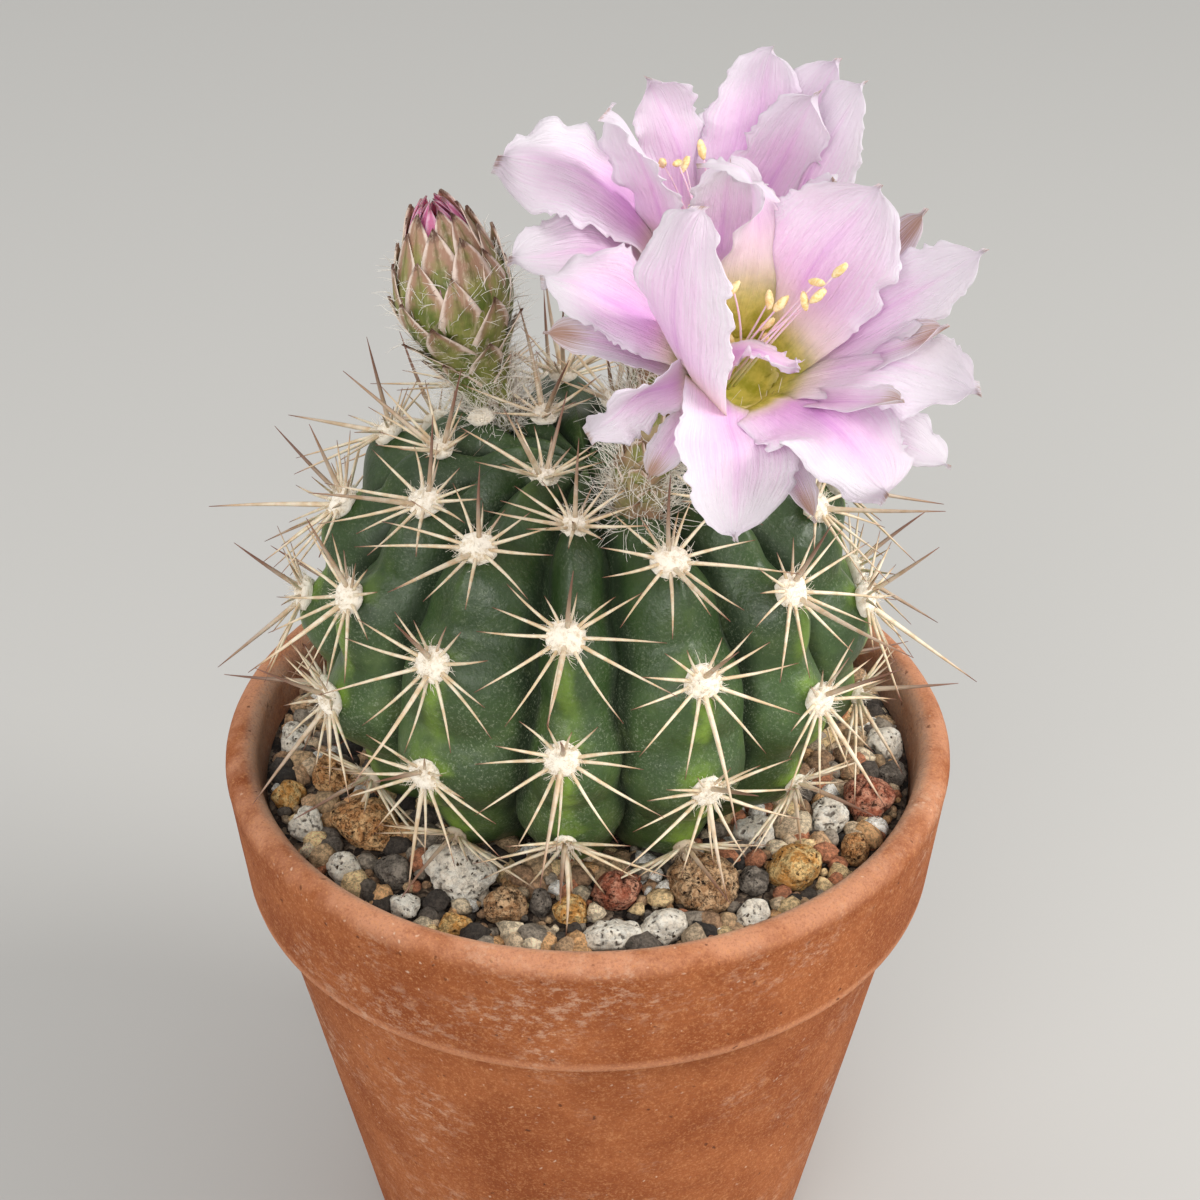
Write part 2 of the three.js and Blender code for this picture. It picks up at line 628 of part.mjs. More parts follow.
// The petal's middle line with its crosswise and facing directions at each step
function petalFrames(bloom, petal, steps) {
  const mouth = vector(bloom.mouth);
  const axis = vector(bloom.axis).normalize();
  const e = outward(petal.az);
  e.addScaledVector(axis, -e.dot(axis)).normalize();
  const drop = CUP.petalDrop + (petal.lift ?? 0);
  const wallRadius = CUP.mouth - CUP.wall / 2 - CUP.slope * drop;
  const root = mouth.clone().addScaledVector(e, wallRadius).addScaledVector(axis, -drop);
  const tip = vector(petal.tip);
  const chord = tip.clone().sub(root);
  const length = chord.length();
  chord.normalize();
  const flare = radians(petal.flare);
  const start = axis.clone().multiplyScalar(Math.cos(flare)).addScaledVector(e, Math.sin(flare));
  start.lerp(chord, petal.straight ?? 0).normalize();
  const mirrored = chord.clone().multiplyScalar(2 * start.dot(chord)).sub(start);
  const end = petal.aim ? vector(petal.aim).normalize() : mirrored.normalize();
  const bend = Math.acos(Math.min(1, start.dot(chord)));
  const reach = length * (1 + PETAL.swing * bend * bend);
  const aimReach = petal.aim ? 1.3 : 1;
  start.multiplyScalar(reach);
  end.multiplyScalar(reach * aimReach);
  const frames = [];
  let cross = new THREE.Vector3().crossVectors(axis, e);
  for (let i = 0; i <= steps; i += 1) {
    const t = i / steps;
    const { place, direction } = hermite(t, root, start, tip, end);
    cross = cross.clone().addScaledVector(direction, -cross.dot(direction)).normalize();
    const facing = new THREE.Vector3().crossVectors(cross, direction);
    const twist = radians(petal.twist ?? 0) * smooth(t / PETAL.twistEnd);
    const across = cross.clone().multiplyScalar(Math.cos(twist)).addScaledVector(facing, Math.sin(twist));
    place.addScaledVector(across, (petal.sway ?? 0) * Math.sin(Math.PI * t));
    frames.push({ t, place, across, facing: new THREE.Vector3().crossVectors(across, direction) });
  }
  return frames;
}

// A thin blade over the petal's frames: cupped across, both faces split on the same diagonals
function bladeSolid(frames, width, foot, widthCells, thick, cupping) {
  const columns = widthCells + 1;
  const front = [];
  const back = [];
  frames.forEach(({ t, place, across, facing }) => {
    const half = Math.max(0.35, (width / 2) * petalWidth(t, foot));
    for (let j = 0; j < columns; j += 1) {
      const v = (2 * j) / widthCells - 1;
      const at = place.clone().addScaledVector(across, half * v).addScaledVector(facing, -cupping * half * v * v);
      front.push(at.clone().addScaledVector(facing, thick / 2));
      back.push(at.clone().addScaledVector(facing, -thick / 2));
    }
  });
  const rows = frames.length;
  const shift = front.length;
  const faces = [];
  const quad = (a, b, c, d) => faces.push(a, b, c, a, c, d);
  for (let i = 0; i < rows - 1; i += 1) {
    for (let j = 0; j < columns - 1; j += 1) {
      const a = i * columns + j;
      faces.push(a, a + 1, a + columns + 1, a, a + columns + 1, a + columns);
      faces.push(shift + a, shift + a + columns + 1, shift + a + 1);
      faces.push(shift + a, shift + a + columns, shift + a + columns + 1);
    }
    const left = i * columns;
    const right = left + columns - 1;
    quad(left, left + columns, shift + left + columns, shift + left);
    quad(right + columns, right, shift + right, shift + right + columns);
  }
  const last = (rows - 1) * columns;
  for (let j = 0; j < columns - 1; j += 1) {
    quad(j + 1, j, shift + j, shift + j + 1);
    quad(last + j, last + j + 1, shift + last + j + 1, shift + last + j);
  }
  return solidFromFaces([...front, ...back], faces);
}

function petalSolid(bloom, petal, cells) {
  const isNarrow = petal.width < NARROW_PETAL;
  const widthCells = isNarrow ? 2 : cells.widthCells;
  const lengthCells = isNarrow ? Math.min(4, cells.lengthCells) : cells.lengthCells;
  const frames = petalFrames(bloom, petal, lengthCells);
  return bladeSolid(frames, petal.width, petal.foot ?? PETAL.foot, widthCells, PETAL.thick, PETAL.cupping);
}

// The floral cup, open at its mouth; its outside can be grown to cut the tube that holds it
function cupOutline(grow) {
  return [
    [0, -CUP.depth - 1.2 - grow],
    [CUP.foot + grow, -CUP.depth - 0.6 - grow],
    [CUP.mouth - CUP.slope * CUP.depth * CUP.belly + grow, -CUP.depth * CUP.belly],
    [CUP.mouth + grow, 0],
  ];
}

function cupSolid(bloom) {
  const inside = [
    [CUP.mouth - CUP.wall, 0],
    [CUP.mouth - CUP.slope * CUP.depth * CUP.belly - CUP.wall, -CUP.depth * CUP.belly],
    [CUP.foot - CUP.wall, -CUP.depth + 0.6],
    [0, -CUP.depth + 0.4],
  ];
  return stoodCup([...cupOutline(0), ...inside], bloom);
}

function cupCutter(bloom) {
  return stoodCup([...cupOutline(SEAT_GAP), [0, 0]], bloom);
}

function stoodCup(outline, bloom) {
  return solidOf(stood(turned(outline, CUP.sides), vector(bloom.mouth), vector(bloom.axis).normalize()));
}

function makePetals(bloom) {
  const blades = bloom.petals.map((petal) => petalSolid(bloom, petal, PETAL));
  const outer = bloom.sepals.map((sepal) => petalSolid(bloom, sepal, SEPAL));
  return wholeBody(union([cupSolid(bloom), ...blades, ...outer]));
}

// The flower tube: a stalk swept from the plant's skin to the cup, with small pointed scales
function makeTube(bloom, bodyCutter) {
  const mouth = vector(bloom.mouth);
  const axis = vector(bloom.axis).normalize();
  const top = mouth.clone().addScaledVector(axis, -TUBE.topDrop);
  const bottom = mouth.clone().addScaledVector(axis, -CUP.depth - TUBE.underCup);
  const line = new THREE.CatmullRomCurve3([vector(bloom.seat), vector(bloom.rise), bottom, top]);
  const radiusAt = (u) => {
    const swell = smooth((u - TUBE.collarStart) / (1 - TUBE.collarStart));
    return THREE.MathUtils.lerp(THREE.MathUtils.lerp(TUBE.seat, TUBE.middle, u), TUBE.collar, swell);
  };
  const points = [];
  const frames = line.computeFrenetFrames(TUBE.rows, false);
  for (let i = 0; i <= TUBE.rows; i += 1) {
    const u = i / TUBE.rows;
    const centre = line.getPointAt(u);
    for (let side = 0; side < TUBE.sides; side += 1) {
      const a = (2 * Math.PI * side) / TUBE.sides;
      const spoke = frames.normals[i].clone().multiplyScalar(Math.cos(a) * radiusAt(u));
      points.push(spoke.addScaledVector(frames.binormals[i], Math.sin(a) * radiusAt(u)).add(centre));
    }
  }
  const start = points.push(line.getPointAt(0)) - 1;
  const end = points.push(line.getPointAt(1)) - 1;
  const faces = [];
  for (let side = 0; side < TUBE.sides; side += 1) {
    const next = (side + 1) % TUBE.sides;
    faces.push(start, next, side);
    for (let i = 0; i < TUBE.rows; i += 1) {
      const a = i * TUBE.sides + side;
      const b = i * TUBE.sides + next;
      faces.push(a, b, b + TUBE.sides, a, b + TUBE.sides, a + TUBE.sides);
    }
    const last = TUBE.rows * TUBE.sides;
    faces.push(end, last + side, last + next);
  }
  const parts = [solidFromFaces(points, faces)];
  for (let i = 0; i < TUBE.scales; i += 1) {
    const u = 0.3 + (0.5 * i) / (TUBE.scales - 1);
    const row = Math.round(u * TUBE.rows);
    const a = i * LEAF_TURN;
    const spoke = frames.normals[row].clone().multiplyScalar(Math.cos(a));
    spoke.addScaledVector(frames.binormals[row], Math.sin(a));
    parts.push(tubeScale(line.getPointAt(u), line.getTangentAt(u), spoke, radiusAt(u)));
  }
  return wholeBody(union(parts).subtract(cupCutter(bloom)).subtract(bodyCutter));
}

// A small pointed scale that leaves a stalk's skin and leans along it
function tubeScale(centre, along, spoke, radius) {
  const across = new THREE.Vector3().crossVectors(along, spoke).normalize();
  const frames = [0, 0.5, 1].map((t) => {
    const out = radius - 0.5 + 1.4 * t - 0.5 * t * t;
    const place = centre.clone().addScaledVector(spoke, out).addScaledVector(along, TUBE.scaleLength * t);
    return { t, place, across, facing: spoke.clone() };
  });
  return bladeSolid(frames, TUBE.scaleWidth, 0.7, 2, BUD.scaleThick, 0.25);
}

// Stamens: fine filaments from a button at the cup's foot, each with its anther
function makeStamens(bloom) {
  const mouth = vector(bloom.mouth);
  const axis = vector(bloom.axis).normalize();
  const foot = mouth.clone().addScaledVector(axis, -CUP.depth + 0.6 + SEAT_GAP);
  const button = solidOf(stood(turned(STAMEN.button, 8), foot, axis));
  const parts = [button];
  bloom.anthers.forEach((tipPlace, index) => {
    const tip = vector(tipPlace);
    const a = index * LEAF_TURN;
    const e = outward(0).multiplyScalar(Math.cos(a)).addScaledVector(outward(90), Math.sin(a));
    const root = foot.clone().addScaledVector(axis, 0.6).addScaledVector(e, STAMEN.rootRadius);
    const length = root.distanceTo(tip);
    const direction = tip.clone().sub(root).normalize();
    const filament = new THREE.CylinderGeometry(STAMEN.thick * 0.8, STAMEN.thick, length, 3);
    filament.rotateX(Math.PI / 2).translate(0, 0, length / 2);
    parts.push(solidOf(stood(filament, root, direction)));
    const half = STAMEN.antherLength / 2;
    const anther = turned([[0, -half], [STAMEN.antherRadius, 0], [0, half]], 3);
    parts.push(solidOf(stood(anther, tip, direction)));
  });
  return wholeBody(union(parts));
}

// The bud

function budFrame() {
  const seat = vector(BUD.seat);
  const axis = vector(BUD.tip).sub(seat).normalize();
  return { seat, axis };
}

// Radius of the bud's outline at a height
function budRadius(height) {
  const outline = BUD.outline;
  const level = Math.min(height, outline.at(-2)[1]);
  const next = outline.findIndex(([, h], i) => i > 1 && h >= level);
  const [r0, h0] = outline[next - 1];
  const [r1, h1] = outline[next];
  return THREE.MathUtils.lerp(r0, r1, (level - h0) / (h1 - h0));
}

function makeBud(bodyCutter) {
  const { seat, axis } = budFrame();
  const parts = [solidOf(stood(turned(BUD.outline, BUD.sides), seat, axis))];
  const e1 = new THREE.Vector3(1, 0, 0).addScaledVector(axis, -axis.x).normalize();
  const e2 = new THREE.Vector3().crossVectors(axis, e1);
  BUD.scaleRings.forEach(([height, count], ring) => {
    for (let k = 0; k < count; k += 1) {
      const a = ((k + (ring % 2) / 2) * 2 * Math.PI) / count;
      const spoke = e1.clone().multiplyScalar(Math.cos(a)).addScaledVector(e2, Math.sin(a));
      parts.push(budScale(seat, axis, spoke, height, count));
    }
  });
  return wholeBody(union(parts).subtract(budPetalCutter()).subtract(bodyCutter));
}

// A scale of the bud: it follows the bud's swelling and closes in over its point
function budScale(seat, axis, spoke, height, count) {
  const across = new THREE.Vector3().crossVectors(axis, spoke).normalize();
  const frames = [0, 0.5, 1].map((t) => {
    const h = height + BUD.scaleLength * t;
    const out = budRadius(h) - BUD.scaleSunk + BUD.scaleLift * t * (2 - t);
    const place = seat.clone().addScaledVector(axis, h).addScaledVector(spoke, out);
    return { t, place, across, facing: spoke.clone() };
  });
  const width = ((2 * Math.PI) / count) * budRadius(height + BUD.scaleLength / 2);
  return bladeSolid(frames, width, 0.6, 2, BUD.scaleThick, 0.2);
}

function budPetalCutter() {
  const { seat, axis } = budFrame();
  const outline = BUD.petalOutline.map(([r, h], i) => [
    i === 0 || r === 0 ? r : r + SEAT_GAP,
    h + (i < 2 ? -SEAT_GAP : SEAT_GAP),
  ]);
  return solidOf(stood(turned(outline, BUD.sides), seat, axis));
}

function makeBudPetals() {
  const { seat, axis } = budFrame();
  return solidOf(stood(turned(BUD.petalOutline, BUD.sides), seat, axis));
}

// The assembly

const body = bodySolid(0);
const bodyCutter = bodySolid(SEAT_GAP).add(rootSolid(SEAT_GAP));

const pot = makePot();
const stones = stoneList();
const stoneSolids = stones.map((stone, i) => stoneSolid(i, stone, 0));
const stoneCutter = union(stones.map((stone, i) => stoneSolid(i, stone, SEAT_GAP)));
const mix = wholeBody(mixSolid().subtract(plantHollow()).subtract(stoneCutter));

const blooms = { front: FRONT_BLOOM, back: BACK_BLOOM };
const bloomMeshes = [];
const bloomSolids = [];
for (const [side, bloom] of Object.entries(blooms)) {
  const tube = makeTube(bloom, bodyCutter);
  const petals = makePetals(bloom);
  const stamens = makeStamens(bloom);
  bloomSolids.push(tube, petals, stamens);
  bloomMeshes.push(meshOf(side + "_bloom_tube", tube, "tube"));
  bloomMeshes.push(meshOf(side + "_bloom_petals", petals, "petals"));
  bloomMeshes.push(meshOf(side + "_bloom_stamens", stamens, "stamens"));
}
const bud = makeBud(bodyCutter);
const budPetals = makeBudPetals();
const neighbours = [pot, mix, stoneCutter, bud, budPetals, ...bloomSolids];
const cactus = makeCactus(body, neighbours);

const assembly = new THREE.Group();
assembly.add(meshOf("pot", pot, "pot"));
assembly.add(meshOf("growing_mix", mix, "mix"));
assembly.add(meshOf("cactus", cactus, "cactus"));
assembly.add(...bloomMeshes);
assembly.add(meshOf("bud_scales", bud, "bud"));
assembly.add(meshOf("bud_petals", budPetals, "budPetals"));
stoneSolids.forEach((solid, i) => {
  const name = "stone_" + String(i + 1).padStart(2, "0");
  assembly.add(meshOf(name, solid, stones[i][6]));
});

export default assembly;
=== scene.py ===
"""A round ribbed cactus with a bud and two open blooms, in a clay pot with a stony top dressing.

It is laid out as an add-on: settings, one operator for each piece or group of like pieces, and a
panel. Lengths in the shape functions are millimetres, +Z is up and -Y is the front, as in the parts.
"""

import math

import bpy
import numpy as np
from bpy.props import FloatProperty, FloatVectorProperty, IntProperty, PointerProperty
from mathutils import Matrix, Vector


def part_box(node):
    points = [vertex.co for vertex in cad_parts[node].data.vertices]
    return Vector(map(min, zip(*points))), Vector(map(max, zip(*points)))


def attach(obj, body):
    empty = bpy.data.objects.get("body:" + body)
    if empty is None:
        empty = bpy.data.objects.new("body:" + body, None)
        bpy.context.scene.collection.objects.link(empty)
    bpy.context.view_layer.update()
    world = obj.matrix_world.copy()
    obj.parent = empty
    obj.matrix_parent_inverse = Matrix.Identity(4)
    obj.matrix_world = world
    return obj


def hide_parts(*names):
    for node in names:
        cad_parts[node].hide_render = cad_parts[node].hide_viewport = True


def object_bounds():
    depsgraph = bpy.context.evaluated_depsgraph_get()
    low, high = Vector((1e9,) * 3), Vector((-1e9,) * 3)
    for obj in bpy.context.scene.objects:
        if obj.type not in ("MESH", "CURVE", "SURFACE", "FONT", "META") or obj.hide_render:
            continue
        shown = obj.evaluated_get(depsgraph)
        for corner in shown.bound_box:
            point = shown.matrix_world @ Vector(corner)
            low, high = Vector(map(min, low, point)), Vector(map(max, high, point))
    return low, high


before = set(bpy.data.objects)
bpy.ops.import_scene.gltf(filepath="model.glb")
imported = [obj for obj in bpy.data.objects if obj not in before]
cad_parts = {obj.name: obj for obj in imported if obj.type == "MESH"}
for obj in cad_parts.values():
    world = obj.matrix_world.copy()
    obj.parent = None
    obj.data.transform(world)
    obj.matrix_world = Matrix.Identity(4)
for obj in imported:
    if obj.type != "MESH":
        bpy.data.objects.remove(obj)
PARTS_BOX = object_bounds()

bl_info = {
    "name": "Potted round cactus",
    "version": (1, 0, 0),
    "blender": (4, 5, 0),
    "location": "3D View > Sidebar > Cactus",
    "description": "Makes a flowering round cactus in a clay pot around its packed parts",
    "category": "Object",
}

MM = 0.001

# Small helpers on arrays


def draw(i, j):
    """A repeatable draw between 0 and 1 for whole numbers: the broken part of a large sine."""
    x = np.sin(np.asarray(i) * 12.9898 + np.asarray(j) * 78.233) * 43758.5453
    return x - np.floor(x)


def spread(i, j):
    """A repeatable draw between -1 and 1."""
    return 2 * draw(i, j) - 1


def unit(v):
    """Vectors divided by their lengths."""
    return v / np.linalg.norm(v, axis=-1, keepdims=True)


def smooth(x):
    """A share eased at both ends, 3 x squared - 2 x cubed, and flat below 0 and above 1."""
    x = np.clip(x, 0, 1)
    return x * x * (3 - 2 * x)


def outward(degrees):
    """Level direction at an azimuth, from the front towards +X."""
    a = np.radians(degrees)
    return np.stack([np.sin(a), -np.cos(a), 0 * a], -1)


def around(across, beside, angle):
    """Directions at an angle round an axis: across x cos a + beside x sin a."""
    return across * np.cos(angle) + beside * np.sin(angle)


def along_axes(points, axes):
    """Points of forms that each have three axes of their own: the sum of measure x axis."""
    return sum(points[..., k : k + 1] * axis[:, None] for k, axis in enumerate(axes))


def grain(p, size, seed=0, octaves=3):
    """Smooth noise from -1 to 1: draws at the corners of cubes, blended across each cube.

    Every further octave halves the cubes' size and its share.
    """
    total, weight = 0.0, 0.0
    for octave in range(octaves):
        q = np.asarray(p) * (2**octave / size) + 17.3 * octave
        cell = np.floor(q)
        f = smooth(q - cell)
        value = 0.0
        for corner in np.ndindex(2, 2, 2):
            share = np.prod(np.where(corner, f, 1 - f), axis=-1)
            dots = (cell + corner) @ np.array([127.1, 311.7, 74.7]) + (seed + octave) * 19.19
            corner_draw = np.sin(dots) * 43758.5453
            value = value + share * (corner_draw - np.floor(corner_draw))
        total = total + (2 * value - 1) * 0.5**octave
        weight += 0.5**octave
    return total / weight


def linear(hex_colour, alpha=True):
    """A screen colour such as b8663c as linear light."""
    c = np.array([int(hex_colour[i : i + 2], 16) / 255 for i in (0, 2, 4)])
    c = np.where(c < 0.04045, c / 12.92, ((c + 0.055) / 1.055) ** 2.4)
    return (*[float(x) for x in c], 1.0) if alpha else c


# Faces of grids


def grid_faces(rows, columns, wrap_columns=False, wrap_rows=False):
    """Quads of a grid that is numbered row by row; wrapping joins the last line to the first."""
    i = np.arange(rows if wrap_rows else rows - 1)[:, None]
    j = np.arange(columns if wrap_columns else columns - 1)[None, :]
    k, m = (i + 1) % rows, (j + 1) % columns
    corners = [i * columns + j, i * columns + m, k * columns + m, k * columns + j]
    return np.stack(corners, -1).reshape(-1, 4)


def repeated(faces, count, points_each):
    """The faces of one form, again for each of the forms that follow it in a row of points."""
    shift = np.arange(count)[:, None, None] * points_each
    return (faces[None] + shift).reshape(-1, faces.shape[1])


def closed_faces(count, rows, sides):
    """Closed forms of rows rings with sides points each, then the point at each of their two ends."""
    j = np.arange(sides)
    k = (j + 1) % sides
    first, last = rows * sides, rows * sides + 1
    base = (rows - 1) * sides
    caps = [np.stack([0 * j + first, k, j], -1), np.stack([0 * j + last, base + j, base + k], -1)]
    each = rows * sides + 2
    quads = grid_faces(rows, sides, wrap_columns=True)
    return [repeated(quads, count, each), repeated(np.concatenate(caps), count, each)]


def shell_faces(count, rows, columns):
    """Thin blades: a front grid and a back grid of points, and the rims that join them all round."""
    front = grid_faces(rows, columns)
    size = rows * columns
    numbers = np.arange(size).reshape(rows, columns)
    edge = np.concatenate([numbers[0, :-1], numbers[:-1, -1], numbers[-1, :0:-1], numbers[:0:-1, 0]])
    after = np.roll(edge, -1)
    rim = np.stack([after, edge, edge + size, after + size], -1)
    sheets = np.concatenate([front, front[:, ::-1] + size])
    return [repeated(sheets, count, 2 * size), repeated(rim, count, 2 * size)]


def ring_points(paths, radii, sides):
    """Rings square to each path: centre + radius x (cos a x across + sin a x up), then both ends.

    Across is level, or square to +X on a path that starts steeply.
    """
    along = unit(np.gradient(paths, axis=1))
    starts_level = np.abs(along[:, :1, 2:]) < 0.8
    reference = np.where(starts_level, np.array([0.0, 0.0, 1.0]), np.array([1.0, 0.0, 0.0]))
    across = unit(np.cross(along, np.broadcast_to(reference, along.shape)))
    up = np.cross(across, along)
    a = np.linspace(0, 2 * np.pi, sides, endpoint=False)[:, None]
    rings = around(across[:, :, None], up[:, :, None], a)
    rings = paths[:, :, None] + rings * radii[:, :, None, None]
    return np.concatenate([rings.reshape(len(paths), -1, 3), paths[:, :1], paths[:, -1:]], axis=1)


def ring_values(values, sides):
    """Spreads one value for each ring over its points, and gives the end points theirs."""
    each = np.repeat(values, sides, axis=1)
    return np.concatenate([each, values[:, :1], values[:, -1:]], axis=1)


def ball_directions(rows, sides):
    """Unit directions over a ball: rings from pole to pole, then the two poles."""
    polar = np.linspace(-1, 1, rows + 2)[1:-1, None] * np.pi / 2
    a = np.linspace(0, 2 * np.pi, sides, endpoint=False)[None, :]
    rings = np.stack([np.cos(polar) * np.cos(a), np.cos(polar) * np.sin(a), np.sin(polar) + 0 * a], -1)
    return np.concatenate([rings.reshape(-1, 3), [[0, 0, -1.0], [0, 0, 1.0]]])


def turned_about_z(points, degrees):
    """Points turned about the upright axis: (x cos a - y sin a, x sin a + y cos a, z)."""
    a = np.radians(degrees)
    x, y = points[..., 0], points[..., 1]
    return np.stack([x * np.cos(a) - y * np.sin(a), x * np.sin(a) + y * np.cos(a), points[..., 2]], -1)


# Curves


def cubic(t, start, leave, end, arrive):
    """The cubic between two places with set directions, and its unit direction."""
    t = t[:, None]
    place = (2 * t**3 - 3 * t**2 + 1) * start + (t**3 - 2 * t**2 + t) * leave
    place = place + (3 * t**2 - 2 * t**3) * end + (t**3 - t**2) * arrive
    way = (6 * t * t - 6 * t) * start + (3 * t * t - 4 * t + 1) * leave
    way = way + (6 * t - 6 * t * t) * end + (3 * t * t - 2 * t) * arrive
    return place, unit(way)


def through(knots, count, repeat_ends=False):
    """A smooth curve of cubics through knots, whose tangent at each is half the way from the knot before
    it to the one after.

    Past its ends the row goes straight on by one knot, or repeats the last one.
    """
    before, after = 2 * knots[:1] - knots[1:2], 2 * knots[-1:] - knots[-2:-1]
    if repeat_ends:
        before, after = knots[:1], knots[-1:]
    row = np.concatenate([before, knots, after])
    u = np.linspace(0, len(knots) - 1, count)
    k = np.minimum(u.astype(int), len(knots) - 2)
    p0, p1, p2, p3 = (row[k + step] for step in range(4))
    return cubic(u - k, p1, (p2 - p0) / 2, p2, (p3 - p1) / 2)[0]


def carried_across(along, reference):
    """A crosswise direction carried along a path without twist.

    The reference is laid square to the path, then turned back by the twist that it gains, summed.
    """
    square = unit(reference - along * (along @ reference)[:, None])
    beside = np.cross(along, square)
    gained = np.einsum("ij,ij->i", np.diff(square, axis=0), (beside[1:] + beside[:-1]) / 2)
    turn = -np.concatenate([[0.0], np.cumsum(gained)])[:, None]
    return around(square, beside, turn)


# Meshes and finishes


def make_piece(
    name, points, faces, material, stands_for=(), values=None, uv=None, flat_rims=False
):
    """Puts points in millimetres and their faces into a smooth mesh whose faces point out.

    The sum over the triangles of a . (b x c) is six times the volume, and its sign shows which way they
    point. Rims, the last list of a thin blade's faces, may stay flat, so that they don't shade its edge.
    """
    points = np.asarray(points, float).reshape(-1, 3)
    fans = [(f, k) for f in faces for k in range(1, f.shape[1] - 1)]
    corners = np.concatenate([np.stack([f[:, 0], f[:, k], f[:, k + 1]], -1) for f, k in fans])
    a, b, c = (points[corners[:, k]] for k in range(3))
    if np.einsum("ij,ij->", a, np.cross(b, c)) < 0:
        faces = [f[:, ::-1] for f in faces]
    mesh = bpy.data.meshes.new(name)
    loops = np.concatenate([f.ravel() for f in faces]).astype(np.int32)
    counts = np.concatenate([np.full(len(f), f.shape[1]) for f in faces])
    starts = np.concatenate([[0], np.cumsum(counts)[:-1]]).astype(np.int32)
    mesh.vertices.add(len(points))
    mesh.vertices.foreach_set("co", (points * MM).astype(np.float32).ravel())
    mesh.loops.add(len(loops))
    mesh.loops.foreach_set("vertex_index", loops)
    mesh.polygons.add(len(counts))
    mesh.polygons.foreach_set("loop_start", starts)
    is_smooth = [np.full(len(f), not (flat_rims and f is faces[-1])) for f in faces]
    mesh.polygons.foreach_set("use_smooth", np.concatenate(is_smooth))
    if uv is not None:
        layer = mesh.uv_layers.new(name="along_the_piece")
        layer.uv.foreach_set("vector", np.asarray(uv, np.float32).reshape(-1, 2)[loops].ravel())
    for key, value in (values or {}).items():
        value = np.asarray(value, np.float32)
        if value.ndim == 2:
            colour = np.concatenate([value, np.ones((len(value), 1), np.float32)], axis=1)
            mesh.attributes.new(key, "FLOAT_COLOR", "POINT").data.foreach_set("color", colour.ravel())
        else:
            mesh.attributes.new(key, "FLOAT", "POINT").data.foreach_set("value", value.ravel())
    mesh.update(calc_edges=True)
    mesh.validate()
    mesh.materials.append(material)
    piece = bpy.data.objects.new(name, mesh)
    bpy.context.scene.collection.objects.link(piece)
    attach(piece, "root")
    if stands_for:
        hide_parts(*stands_for)
    return piece


